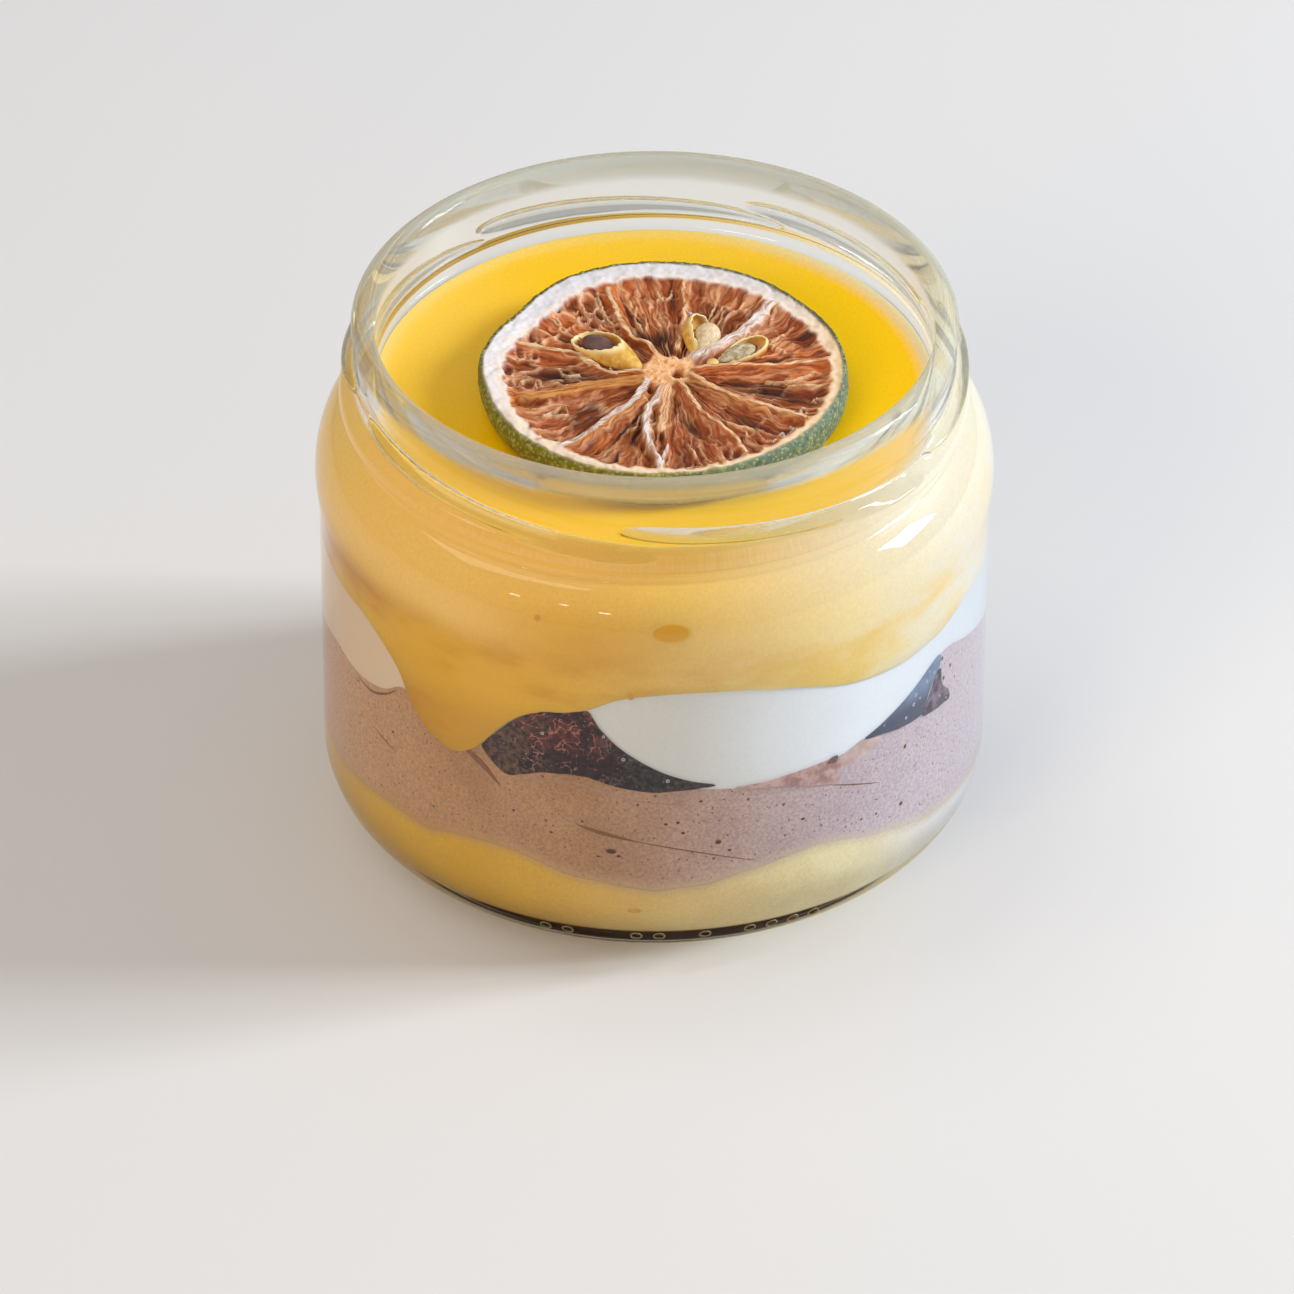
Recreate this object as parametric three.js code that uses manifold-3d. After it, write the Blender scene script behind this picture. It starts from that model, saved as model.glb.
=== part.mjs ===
// A lemon mousse in its glass jar: yellow, mauve, white and yellow layers with dark berries
// pressed against the glass, and a dried lime slice lying on top.
// Millimetres, +Z up, the origin at the middle of the jar's base, the front towards -Y.
// Every angle round the jar is in degrees from the front, growing towards +X.

import * as THREE from 'three';
import { mergeVertices } from 'three/addons/utils/BufferGeometryUtils.js';
import Module from 'manifold-3d';

const wasm = await Module();
wasm.setup();

const { degToRad, lerp, smoothstep } = THREE.MathUtils;

// Jar: a squat body with a wide neck for an 82 mm twist-off lid
const JAR_HEIGHT = 74;
const BODY_RADIUS = 43.8;
const BODY_WALL = 2.4;
const HEEL_RADIUS = 10;
const HEEL_HEIGHT = 9.5;
const STRAIGHT_TOP = 46;
const SHOULDER_BULGE_RADIUS = 44.3;
const SHOULDER_BULGE_HEIGHT = 50.5;
const NECK_OUTER_RADIUS = 39.1;
const NECK_INNER_RADIUS = 36.3;
const NECK_FOOT = 60.4;
const LIP_RADIUS = 1.5;
const BEAD_HEIGHT = 62.3;
const BEAD_RADIUS = 41;
const PUSH_UP = 1.4;
const PUSH_UP_RADIUS = 28;
const FLOOR_HEIGHT = 4.1;
const INNER_HEEL_RADIUS = 8.6;
const JAR_SEGMENTS = 56;

// Thread: six bars round the neck. Each falls from its high end to its low end, which are angles.
const LUGS = [
  { high: -6.5, low: 58, fall: 3.2 },
  { high: -69, low: 0.5, fall: 3.2 },
  { high: -78, low: -143, fall: 2 },
  { high: -141.5, low: -206.5, fall: 2 },
  { high: 162, low: 97, fall: 2 },
  { high: 110, low: 62, fall: 2 },
];
const LUG_WIDTH = 2.8;
const LUG_NARROWING = 0.35;
const LUG_DEPTH = 1.6;
const LUG_HEIGHT = 66.8;

// Contents
const GAP = 0.3;
const CONTENT_RADIUS = BODY_RADIUS - BODY_WALL - GAP;
const CURD_HEIGHT = 62;
const CONTENT_SEGMENTS = 72;

// Where the layers meet the glass, as [angle, height]
const BASE_TOP = [
  [-71, 12.6], [-55, 13.9], [-37, 15.6], [-25, 16], [-15, 14], [0, 12.7], [10, 13.4], [24, 15.4],
  [35, 15], [53, 11.3], [65, 9.5], [80, 8], [100, 9], [125, 12], [152, 15], [180, 13],
  [205, 15.6], [230, 14.5], [258, 12],
];
const MOUSSE_TOP = [
  [-84, 29.1], [-73, 30.8], [-59, 30.9], [-49, 34.4], [-42, 32.4], [-33, 31], [-27, 29.2],
  [-18, 29.9], [-6, 29], [2, 28.3], [20, 28.1], [34, 28.9], [44, 30], [52, 32], [61, 35.2],
  [68, 33.8], [84, 29.7], [100, 28.5], [116, 30], [132, 31.6], [160, 29], [190, 33.5],
  [222, 29.5], [248, 28.6],
];
const LEMON_BOTTOM = [
  [-85, 42.7], [-70, 41.6], [-60, 41.2], [-54, 39], [-49.5, 35.5], [-44, 30.9], [-38, 28.9],
  [-33, 30.4], [-28, 34.7], [-22, 38.5], [-14, 40], [-6, 42.8], [8, 43.9], [20, 43], [36, 39.8],
  [50, 38.9], [70, 40.2], [84, 39.8], [101, 41.5], [119, 42.5], [136, 40], [149, 34.6],
  [156, 33.2], [164, 36], [178, 41], [196, 43], [213, 42], [231, 40.4], [252, 42.4],
];
const BASE_TOP_MIDDLE = 13;
const MOUSSE_TOP_MIDDLE = 30.5;
const LEMON_BOTTOM_MIDDLE = 41;

// The berries' outlines on the glass, as [angle, height], and how far they reach in
const BERRIES = {
  berry_front: {
    colour: '#3a2429',
    depth: 11,
    outline: [
      [-31.3, 31.6], [-28, 35.4], [-24.5, 38], [-19, 40], [-12, 41.2], [-9, 38], [-4, 34.2],
      [2, 31.3], [10.6, 29.2], [2, 28.3], [-6.5, 28.8], [-13, 30.1], [-19, 29.8], [-26, 28],
    ],
  },
  berry_right: {
    colour: '#3d4150',
    depth: 9,
    outline: [
      [40, 30.2], [45, 31.8], [51, 34], [56.5, 35.8], [61.5, 36.2], [64, 33], [63, 27.6],
      [56, 28], [47, 29.4],
    ],
  },
  berry_pink: {
    colour: '#b58e8a',
    depth: 6,
    outline: [[14.5, 28.4], [21, 28.6], [28, 28.9], [35, 29.6], [36, 27], [32, 24.8], [24, 25.8]],
  },
  berry_side: {
    colour: '#412a31',
    depth: 10,
    outline: [
      [105, 31], [108, 34.6], [114, 37], [121, 37.6], [127, 36], [130, 32.4], [126, 29.4],
      [117, 28.2], [109, 28.6],
    ],
  },
  berry_back: {
    colour: '#352028',
    depth: 11,
    outline: [
      [194, 33], [199, 37], [206, 39.2], [213, 38.6], [219, 35.4], [224, 31.4], [218, 29],
      [209, 29.8], [200, 30],
    ],
  },
};

// Dried lime slice; its own angles are in degrees from +X towards +Y
const SLICE_X = 1;
const SLICE_Y = -1.4;
const SLICE_EDGE = [
  [5, 23.8], [39, 23.4], [63, 23.9], [84, 24.2], [119, 24.1], [136, 23.1], [147, 22.4],
  [158, 22.9], [176, 23.7], [195, 23.7], [215, 24.2], [236, 24.6], [253, 24.9], [272, 24.7],
  [303, 24.2], [343, 23.8],
];
const SLICE_FACE = 66.5;
const SLICE_SINK = 1.5;
const SLICE_SEGMENTS = 72;
const MEMBRANES = [5, 46, 85, 114, 160, 198, 229, 265, 299, 331];
const SEEDS = [
  { from: [-9.8, 5.4], to: [-1.4, -2], width: 4, lift: 0.3 },
  { from: [4.2, 1.6], to: [7.2, 8.4], width: 4.4, lift: 0.5 },
  { from: [8.4, -1.6], to: [14, 3.6], width: 4.2, lift: 0 },
];

// ---- Shapes -------------------------------------------------------------------------------

function arc(r, z, radiusR, radiusZ, from, to, steps) {
  const points = [];
  for (let i = 0; i <= steps; i++) {
    const angle = degToRad(lerp(from, to, i / steps));
    points.push(new THREE.Vector2(r + radiusR * Math.cos(angle), z + radiusZ * Math.sin(angle)));
  }
  return points;
}

const point = (r, z) => new THREE.Vector2(r, z);

// A lathe form with its axis upright and its seam at the front
function turned(profile, segments) {
  const geometry = new THREE.LatheGeometry(profile, segments);
  geometry.rotateX(Math.PI / 2);
  return geometry;
}

// Moves each vertex to the place that the rule gives for it
function bent(geometry, rule) {
  const places = geometry.attributes.position;
  const place = new THREE.Vector3();
  for (let i = 0; i < places.count; i++) {
    place.fromBufferAttribute(places, i);
    rule(place);
    places.setXYZ(i, place.x, place.y, place.z);
  }
  return geometry;
}

// Puts a vertex at an angle round the jar
function placeRound(place, r, angle, z) {
  place.set(r * Math.sin(degToRad(angle)), -r * Math.cos(degToRad(angle)), z);
}

function signedVolume(places, corners) {
  const [a, b, c] = [0, 0, 0].map(() => new THREE.Vector3());
  let sum = 0;
  for (let i = 0; i < corners.length; i += 3) {
    a.fromBufferAttribute(places, corners[i]);
    b.fromBufferAttribute(places, corners[i + 1]);
    c.fromBufferAttribute(places, corners[i + 2]);
    sum += a.dot(b.cross(c)) / 6;
  }
  return sum;
}

// A closed geometry as a solid that can be joined and cut, with its faces turned outwards
function toSolid(geometry) {
  geometry.deleteAttribute('normal');
  geometry.deleteAttribute('uv');
  const merged = mergeVertices(geometry, 1e-4);
  const index = merged.index.array;
  const corners = [];
  for (let i = 0; i < index.length; i += 3) {
    const [a, b, c] = [index[i], index[i + 1], index[i + 2]];
    if (a !== b && b !== c && c !== a) corners.push(a, b, c);
  }
  if (signedVolume(merged.attributes.position, corners) < 0) corners.reverse();
  return new wasm.Manifold(new wasm.Mesh({
    numProp: 3,
    vertProperties: merged.attributes.position.array,
    triVerts: Uint32Array.from(corners),
  }));
}

// The largest body of a solid, without the scraps that a cut leaves
function largest(solid) {
  return solid.decompose().reduce((best, body) => (body.volume() > best.volume() ? body : best));
}

const group = new THREE.Group();

function addNode(name, solid, look) {
  const mesh = largest(solid).getMesh();
  const geometry = new THREE.BufferGeometry();
  geometry.setAttribute('position', new THREE.BufferAttribute(mesh.vertProperties, 3));
  geometry.setIndex(new THREE.BufferAttribute(mesh.triVerts, 1));
  geometry.computeVertexNormals();
  const node = new THREE.Mesh(geometry, new THREE.MeshStandardMaterial({ metalness: 0, ...look }));
  node.name = name;
  group.add(node);
}

// ---- Jar ----------------------------------------------------------------------------------

// The inner wall from the floor's middle up to the neck, drawn in by a gap for what fills it
function innerWall(gap) {
  const wall = BODY_RADIUS - BODY_WALL - gap;
  const heel = INNER_HEEL_RADIUS - gap;
  const shoulder = 5.8 - gap;
  return [
    point(0, FLOOR_HEIGHT + gap),
    ...arc(wall - heel, FLOOR_HEIGHT + gap + heel, heel, heel, -90, 0, 4),
    ...arc(wall - shoulder, STRAIGHT_TOP + 3, shoulder, 9 - gap, 0, 70, 3),
    point(NECK_INNER_RADIUS - gap, NECK_FOOT),
  ];
}

function jarBody() {
  const shoulderTop = NECK_FOOT - 1.3 - SHOULDER_BULGE_HEIGHT;
  const heelStart = BODY_RADIUS - HEEL_RADIUS;
  const beadDepth = BEAD_RADIUS - 39.7;
  return turned([
    point(0, PUSH_UP),
    point(PUSH_UP_RADIUS, PUSH_UP),
    point(PUSH_UP_RADIUS + 3, 0),
    ...arc(heelStart, HEEL_HEIGHT, HEEL_RADIUS, HEEL_HEIGHT, -90, 0, 5),
    point(BODY_RADIUS, STRAIGHT_TOP),
    ...arc(39, SHOULDER_BULGE_HEIGHT, SHOULDER_BULGE_RADIUS - 39, shoulderTop, 0, 80, 3),
    point(39.7, NECK_FOOT),
    ...arc(39.7, BEAD_HEIGHT, beadDepth, 1.6, -60, 60, 2),
    point(NECK_OUTER_RADIUS, BEAD_HEIGHT + 2.5),
    ...arc(NECK_OUTER_RADIUS + 0.2 - LIP_RADIUS, JAR_HEIGHT - LIP_RADIUS, LIP_RADIUS, LIP_RADIUS, 0, 180, 4),
    ...innerWall(0).reverse(),
  ], JAR_SEGMENTS);
}

// One bar of the thread: a long drop bent round the neck, blunt at its high end
function lug({ high, low, fall }) {
  const geometry = new THREE.SphereGeometry(1, 5, 9);
  return bent(geometry, (place) => {
    const share = (1 - place.y) / 2;
    const thin = Math.hypot(place.x, place.z);
    const swell = thin > 0 ? Math.pow(thin, -0.4) : 0;
    const width = LUG_WIDTH * (1 - LUG_NARROWING * share);
    const r = NECK_OUTER_RADIUS + place.x * swell * LUG_DEPTH;
    const z = LUG_HEIGHT - fall * share + place.z * swell * width / 2;
    placeRound(place, r, lerp(high, low, share), z);
  });
}

function jar() {
  let solid = toSolid(jarBody());
  for (const bar of LUGS) solid = solid.add(toSolid(lug(bar)));
  return solid;
}

addNode('jar', jar(), { color: '#dfe8e2', roughness: 0.05, transparent: true, opacity: 0.35 });

// ---- Layers -------------------------------------------------------------------------------

// A smooth closed curve of height against angle through the given points
function around(points) {
  const count = points.length;
  const at = (i) => {
    const turn = Math.floor(i / count);
    const [angle, height] = points[i - turn * count];
    return [angle + turn * 360, height];
  };
  const slope = (i) => (at(i + 1)[1] - at(i - 1)[1]) / (at(i + 1)[0] - at(i - 1)[0]);
  return (angle) => {
    const start = points[0][0];
    const turned360 = start + ((angle - start) % 360 + 360) % 360;
    let i = 0;
    while (at(i + 1)[0] <= turned360) i++;
    const [a, low] = at(i);
    const [b, high] = at(i + 1);
    const t = (turned360 - a) / (b - a);
    const rise = (t * t * t - 2 * t * t + t) * slope(i) + (t * t * t - t * t) * slope(i + 1);
    return lerp(low, high, t * t * (3 - 2 * t)) + rise * (b - a);
  };
}

// A layer's surface: its curve at the glass, easing to one height in the middle
function surface(middle, points) {
  const curve = around(points);
  return (r, angle) => {
    return lerp(middle, curve(angle), smoothstep(r, CONTENT_RADIUS * 0.4, CONTENT_RADIUS));
  };
}

// Everything under a surface, out past the glass
function under(height, shift) {
  const outside = CONTENT_RADIUS + 5;
  const rings = [outside, CONTENT_RADIUS + 0.05, 30, 0];
  const profile = [point(0, 0), point(outside, 0), ...rings.map((r) => point(r, 1))];
  return toSolid(bent(turned(profile, CONTENT_SEGMENTS), (place) => {
    if (place.z < 0.5) {
      place.z = -GAP;
      return;
    }
    const angle = THREE.MathUtils.radToDeg(Math.atan2(place.x, -place.y));
    place.z = height(Math.hypot(place.x, place.y), angle) + shift;
  }));
}

// A berry pressed on the glass: its outline there, which runs clockwise, rounds off inwards to
// its depth. For a cutter, grow widens it all round and carries it out past the glass.
function berry({ outline, depth }, grow) {
  const mmPerDegree = degToRad(CONTENT_RADIUS);
  const flat = outline.map(([angle, z]) => new THREE.Vector3(angle * mmPerDegree, z, 0));
  const rim = new THREE.CatmullRomCurve3(flat, true);
  const middle = new THREE.Vector3();
  flat.forEach((corner) => middle.addScaledVector(corner, 1 / flat.length));
  const front = grow > 0 ? -0.3 : 0;
  const profile = [
    point(0, front), point(0.5, front), point(1, front), point(1, 0), point(1, 0.3),
    point(0.7, 0.8), point(0, 1),
  ];
  const segments = outline.length * Math.ceil(14 / outline.length);
  const geometry = turned(grow > 0 ? profile : profile.toSpliced(3, 1), segments);
  return toSolid(bent(geometry, (place) => {
    const share = Math.hypot(place.x, place.y);
    const inward = place.z;
    const turn = (Math.atan2(place.x, -place.y) / (2 * Math.PI) + 1) % 1;
    const spot = rim.getPoint(turn);
    const along = rim.getTangent(turn);
    const outwards = spot.clone().sub(middle).normalize().add(new THREE.Vector3(-along.y, along.x, 0));
    spot.add(outwards.setLength(grow)).lerp(middle, 1 - share);
    placeRound(place, CONTENT_RADIUS - (depth + grow) * inward, spot.x / mmPerDegree, spot.y);
  }));
}

const baseTop = surface(BASE_TOP_MIDDLE, BASE_TOP);
const mousseTop = surface(MOUSSE_TOP_MIDDLE, MOUSSE_TOP);
const lemonBottom = surface(LEMON_BOTTOM_MIDDLE, LEMON_BOTTOM);
const contents = toSolid(turned([
  ...innerWall(GAP),
  point(NECK_INNER_RADIUS - GAP, CURD_HEIGHT),
  point(0, CURD_HEIGHT),
], CONTENT_SEGMENTS));

function withoutBerries(solid) {
  return Object.values(BERRIES).reduce((rest, form) => rest.subtract(berry(form, GAP)), solid);
}

const belowLemon = contents.intersect(under(lemonBottom, -GAP));

addNode('lemon_base', contents.intersect(under(baseTop, 0)), { color: '#e3c377', roughness: 0.45 });
addNode(
  'berry_mousse',
  withoutBerries(belowLemon.intersect(under(mousseTop, 0)).subtract(under(baseTop, GAP))),
  { color: '#b39a96', roughness: 0.55 },
);
addNode(
  'white_cream',
  withoutBerries(belowLemon.subtract(under(mousseTop, GAP))),
  { color: '#e6e3df', roughness: 0.5 },
);
addNode(
  'lemon_mousse',
  withoutBerries(contents.subtract(under(lemonBottom, 0))),
  { color: '#f3c22c', roughness: 0.35 },
);

// ---- Berries ------------------------------------------------------------------------------

for (const [name, form] of Object.entries(BERRIES)) {
  addNode(name, berry(form, 0), { color: form.colour, roughness: 0.6 });
}

// ---- Dried lime slice ---------------------------------------------------------------------

// The slice's edge is an uneven round, and its white pith is widest at the back left
const sliceEdge = around(SLICE_EDGE);
const pithWidth = (angle) => 2.6 - 0.6 * Math.cos(degToRad(angle)) + 1.1 * Math.sin(degToRad(angle));

// How far the dried flesh has sunk: none on a membrane or at the core, most between them
function sunk(r, angle) {
  const nearest = Math.min(...MEMBRANES.map((membrane) => {
    const apart = Math.abs(angle - membrane) % 360;
    return degToRad(Math.min(apart, 360 - apart)) * r;
  }));
  return SLICE_SINK * smoothstep(nearest, 0.3, 2) * smoothstep(r, 2, 5);
}

// The lathe's radius runs 0 to 1 over the flesh and 1 to 2 over the pith and rind
function sliceDisc() {
  const thick = SLICE_FACE - CURD_HEIGHT - GAP;
  const profile = [
    point(0, 0), point(1.9, 0), point(2.05, thick / 2), point(1.95, thick), point(1, thick),
    point(0.92, thick), point(0.6, thick), point(0.3, thick), point(0.12, thick),
    point(0, thick),
  ];
  return bent(turned(profile, SLICE_SEGMENTS), (place) => {
    const share = Math.hypot(place.x, place.y);
    const angle = THREE.MathUtils.radToDeg(Math.atan2(place.y, place.x));
    const pith = pithWidth(angle);
    const flesh = sliceEdge(angle) - pith;
    const r = share <= 1 ? share * flesh : flesh + (share - 1) * pith;
    const onFlesh = place.z > 0.99 * thick && share < 0.97;
    const z = CURD_HEIGHT + GAP + place.z - (onFlesh ? sunk(r, angle) : 0);
    place.set(SLICE_X + r * Math.cos(degToRad(angle)), SLICE_Y + r * Math.sin(degToRad(angle)), z);
  });
}

function seed({ from, to, width, lift }) {
  const start = new THREE.Vector2(...from);
  const end = new THREE.Vector2(...to);
  const along = end.clone().sub(start);
  const geometry = new THREE.SphereGeometry(1, 8, 6);
  geometry.rotateZ(Math.PI / 2);
  geometry.scale(along.length() / 2, width / 2, width * 0.4);
  geometry.rotateZ(along.angle());
  geometry.translate((start.x + end.x) / 2, (start.y + end.y) / 2, SLICE_FACE - 0.4 + lift);
  return toSolid(geometry);
}

const slice = SEEDS.reduce((solid, form) => solid.add(seed(form)), toSolid(sliceDisc()));
addNode('lime_slice', slice, { color: '#9a6a4e', roughness: 0.8 });

export default group;
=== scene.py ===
import math

import bmesh
import bpy
import numpy as np
from mathutils import Matrix, Vector


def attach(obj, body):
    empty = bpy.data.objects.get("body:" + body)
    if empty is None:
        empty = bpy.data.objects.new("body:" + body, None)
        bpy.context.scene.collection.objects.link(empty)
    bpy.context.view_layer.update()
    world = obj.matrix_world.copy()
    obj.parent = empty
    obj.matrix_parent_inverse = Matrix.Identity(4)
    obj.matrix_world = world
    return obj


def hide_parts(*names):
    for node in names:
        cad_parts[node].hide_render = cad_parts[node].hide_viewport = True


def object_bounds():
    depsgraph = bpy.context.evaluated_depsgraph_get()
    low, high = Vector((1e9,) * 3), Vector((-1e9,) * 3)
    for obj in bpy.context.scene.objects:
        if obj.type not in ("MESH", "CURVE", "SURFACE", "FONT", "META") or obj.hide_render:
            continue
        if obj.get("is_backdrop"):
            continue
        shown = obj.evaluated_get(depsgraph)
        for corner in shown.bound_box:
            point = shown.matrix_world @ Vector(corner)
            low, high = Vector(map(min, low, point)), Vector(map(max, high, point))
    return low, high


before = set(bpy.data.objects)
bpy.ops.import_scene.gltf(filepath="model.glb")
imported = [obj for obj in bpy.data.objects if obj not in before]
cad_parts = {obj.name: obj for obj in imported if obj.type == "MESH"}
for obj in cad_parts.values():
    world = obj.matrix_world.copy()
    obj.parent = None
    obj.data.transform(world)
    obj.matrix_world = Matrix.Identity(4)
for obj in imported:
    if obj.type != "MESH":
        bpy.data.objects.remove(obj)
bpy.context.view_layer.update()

# A lemon mousse in its squat glass jar, in metres, +Z up, the front towards -Y. Every angle
# round the jar is in degrees from the front, growing towards +X. Sizes of the jar and of what
# it holds are in millimetres, and their meshes are scaled by MM as they are made.

# ---- Stage: a pale floor, soft lamps and the camera --------------------------------------------
# The camera stands more than a metre off and looks down at 36 degrees through a long lens. The
# main light is a tall cool window on the right, with a warm lamp at the front left, a soft one
# overhead and three small ones that leave glints on the shoulder. Lengths here are in metres.

CAMERA_BACK = 1.02928
CAMERA_UP = 0.76328
CAMERA_DOWN = 35.81
CAMERA_YAW = 0.05
CAMERA_ROLL = 0.17
FOCAL_PIXELS = 9593.0
PHOTO_PIXELS = 1294
SENSOR = 36.0
JAR_MIDDLE = (0, 0, 0.03)
WINDOW_X = 0.97
WINDOW_Y = 0.12
WINDOW_HEIGHT = 0.58
PANE_APART_X = 0.01
PANE_APART_Y = -0.085
PANE_APART_UP = 0.14
PANE_WATTS = 2.25
GLINT_WATTS = 0.12
SKY = (0.80, 0.84, 0.90, 1)
SKY_STRENGTH = 0.36
FLOOR_SIZE = 4

camera_data = bpy.data.cameras.new("camera")
camera_data.sensor_width = SENSOR
camera_data.lens = FOCAL_PIXELS * SENSOR / PHOTO_PIXELS
camera_data.clip_end = 20
camera = bpy.data.objects.new("camera", camera_data)
camera.matrix_world = (
    Matrix.Translation((0, -CAMERA_BACK, CAMERA_UP))
    @ Matrix.Rotation(math.radians(CAMERA_YAW), 4, "Z")
    @ Matrix.Rotation(math.radians(90 - CAMERA_DOWN), 4, "X")
    @ Matrix.Rotation(math.radians(CAMERA_ROLL), 4, "Z")
)
bpy.context.scene.collection.objects.link(camera)
bpy.context.scene.camera = camera
bpy.context.scene.view_settings.view_transform = "Standard"


def softbox(name, place, aim, width, height, watts, colour, mirrored=True):
    """A soft rectangular lamp at a place, aimed at another, which glossy things may mirror."""
    lamp = bpy.data.lights.new(name, "AREA")
    lamp.shape = "RECTANGLE"
    lamp.size = width
    lamp.size_y = height
    lamp.energy = watts
    lamp.color = colour
    holder = bpy.data.objects.new(name, lamp)
    facing = (Vector(aim) - Vector(place)).to_track_quat("-Z", "Y")
    holder.matrix_world = Matrix.LocRotScale(Vector(place), facing, None)
    holder.visible_glossy = mirrored
    bpy.context.scene.collection.objects.link(holder)


for i, (across, up) in enumerate([(-1, -1), (1, -1), (-1, 0), (1, 0), (-1, 1), (1, 1)]):
    place = (
        WINDOW_X + PANE_APART_X * across,
        WINDOW_Y + PANE_APART_Y * across,
        WINDOW_HEIGHT + PANE_APART_UP * up,
    )
    softbox(f"window_pane_{i}", place, JAR_MIDDLE, width=0.15, height=0.12, watts=PANE_WATTS,
            colour=(0.90, 0.95, 1.0))
softbox("lamp_front", (-0.62, -0.9, 0.6), JAR_MIDDLE, width=0.5, height=0.5, watts=5.4,
        colour=(1.0, 0.77, 0.52), mirrored=False)
softbox("overhead", (-0.4, 0.15, 1.05), (0, 0, 0.05), width=0.8, height=0.6, watts=3.2,
        colour=(1.0, 0.95, 0.88))
for i, place in enumerate([(-0.85, -0.8, 0.62), (-0.55, -0.95, 0.66), (-0.3, -1.05, 0.55)]):
    softbox(f"small_lamp_{i}", place, JAR_MIDDLE, width=0.07, height=0.035, watts=GLINT_WATTS,
            colour=(1.0, 0.92, 0.8))

world = bpy.data.worlds.new("studio")
world.use_nodes = True
backdrop = world.node_tree.nodes["Background"]
backdrop.inputs["Color"].default_value = SKY
backdrop.inputs["Strength"].default_value = SKY_STRENGTH
bpy.context.scene.world = world

MM = 0.001


class Finish:
    """A material's node tree, with short calls for the nodes that the finishes here use."""

    def __init__(self, name, **sockets):
        self.material = bpy.data.materials.new(name)
        self.material.use_nodes = True
        self.tree = self.material.node_tree
        self.shader = self.tree.nodes["Principled BSDF"]
        self.output = self.tree.nodes["Material Output"]
        self.place = self.tree.nodes.new("ShaderNodeTexCoord").outputs["Object"]
        for socket, value in sockets.items():
            self.shader.inputs[socket.replace("_", " ")].default_value = value

    def feed(self, socket, value):
        """Links another node's output to a socket, or sets a number or a colour on it."""
        if isinstance(value, bpy.types.NodeSocket):
            self.tree.links.new(value, socket)
        elif socket.type == "RGBA":
            socket.default_value = (*value, 1)
        else:
            socket.default_value = value

    def node(self, kind, **inputs):
        made = self.tree.nodes.new(kind)
        for key, value in inputs.items():
            self.feed(made.inputs[key], value)
        return made

    def stretched(self, x, y, z):
        """The place on the piece, scaled along each axis, so that noise is drawn out."""
        made = self.node("ShaderNodeMapping", Vector=self.place)
        made.inputs["Scale"].default_value = (x, y, z)
        return made.outputs[0]

    def noise(self, scale, detail=2.0, rough=0.5, where=None):
        made = self.node("ShaderNodeTexNoise", Vector=where or self.place, Scale=scale)
        made.inputs["Detail"].default_value = detail
        made.inputs["Roughness"].default_value = rough
        return made.outputs["Fac"]

    def step(self, value, low, high, to_low=0.0, to_high=1.0):
        """A smooth change from one value to another while the first goes from low to high."""
        made = self.tree.nodes.new("ShaderNodeMapRange")
        made.interpolation_type = "SMOOTHSTEP"
        for socket, entry in zip(made.inputs, (value, low, high, to_low, to_high)):
            self.feed(socket, entry)
        return made.outputs["Result"]

    def along(self, letter, start, end, to_start=0.0, to_end=1.0):
        """A smooth change between two places along an axis, given in millimetres."""
        return self.step(self.axis(letter), start * MM, end * MM, to_start, to_end)

    def patches(self, low, high, *noise):
        """Soft patches: noise drawn out so that it reaches nought and one."""
        return self.step(self.noise(*noise), low, high)

    def mix(self, share, first, second, blend="MIX"):
        made = self.tree.nodes.new("ShaderNodeMix")
        made.data_type = "RGBA"
        made.blend_type = blend
        self.feed(made.inputs["Factor"], share)
        self.feed(made.inputs[6], first)
        self.feed(made.inputs[7], second)
        return made.outputs[2]

    def mix_shaders(self, share, first, second):
        made = self.tree.nodes.new("ShaderNodeMixShader")
        for socket, entry in zip(made.inputs, (share, first, second)):
            self.feed(socket, entry)
        return made.outputs[0]

    def maths(self, kind, *values):
        made = self.tree.nodes.new("ShaderNodeMath")
        made.operation = kind
        for socket, value in zip(made.inputs, values):
            self.feed(socket, value)
        return made.outputs[0]

    def attribute(self, name, output="Fac"):
        made = self.tree.nodes.new("ShaderNodeAttribute")
        made.attribute_name = name
        return made.outputs[output]

    def axis(self, letter):
        return self.node("ShaderNodeSeparateXYZ", Vector=self.place).outputs[letter]

    def pores(self, scale, size, kept, where=None):
        """One where there is no pore and nought inside one; only a share of cells has a pore."""
        cells = self.node("ShaderNodeTexVoronoi", Vector=where or self.place, Scale=scale)
        chance = self.node("ShaderNodeSeparateColor", Color=cells.outputs["Color"]).outputs[0]
        open_here = self.step(cells.outputs["Distance"], size * 0.6, size)
        return self.maths("MAXIMUM", open_here, self.maths("GREATER_THAN", chance, kept))

    def bump(self, height, depth, strength=1.0):
        made = self.node("ShaderNodeBump", Height=height, Distance=depth, Strength=strength)
        self.feed(self.shader.inputs["Normal"], made.outputs["Normal"])

    def grainy(self, value, depth=0.08):
        """The same colour with a very fine light and dark grain."""
        grain = self.step(self.noise(2500.0, 3, 0.65), 0.3, 0.7, 1 - depth, 1 + depth / 2)
        shade = self.node("ShaderNodeCombineColor", Red=grain, Green=grain, Blue=grain)
        return self.mix(1.0, value, shade.outputs[0], "MULTIPLY")

    def colour(self, value):
        self.feed(self.shader.inputs["Base Color"], value)


def seen(red, green, blue):
    """A colour as it is read off a screen, 0 to 255, turned into light."""
    return tuple(
        c / 12.92 if c <= 0.04045 else ((c + 0.055) / 1.055) ** 2.4
        for c in (red / 255, green / 255, blue / 255)
    )


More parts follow.
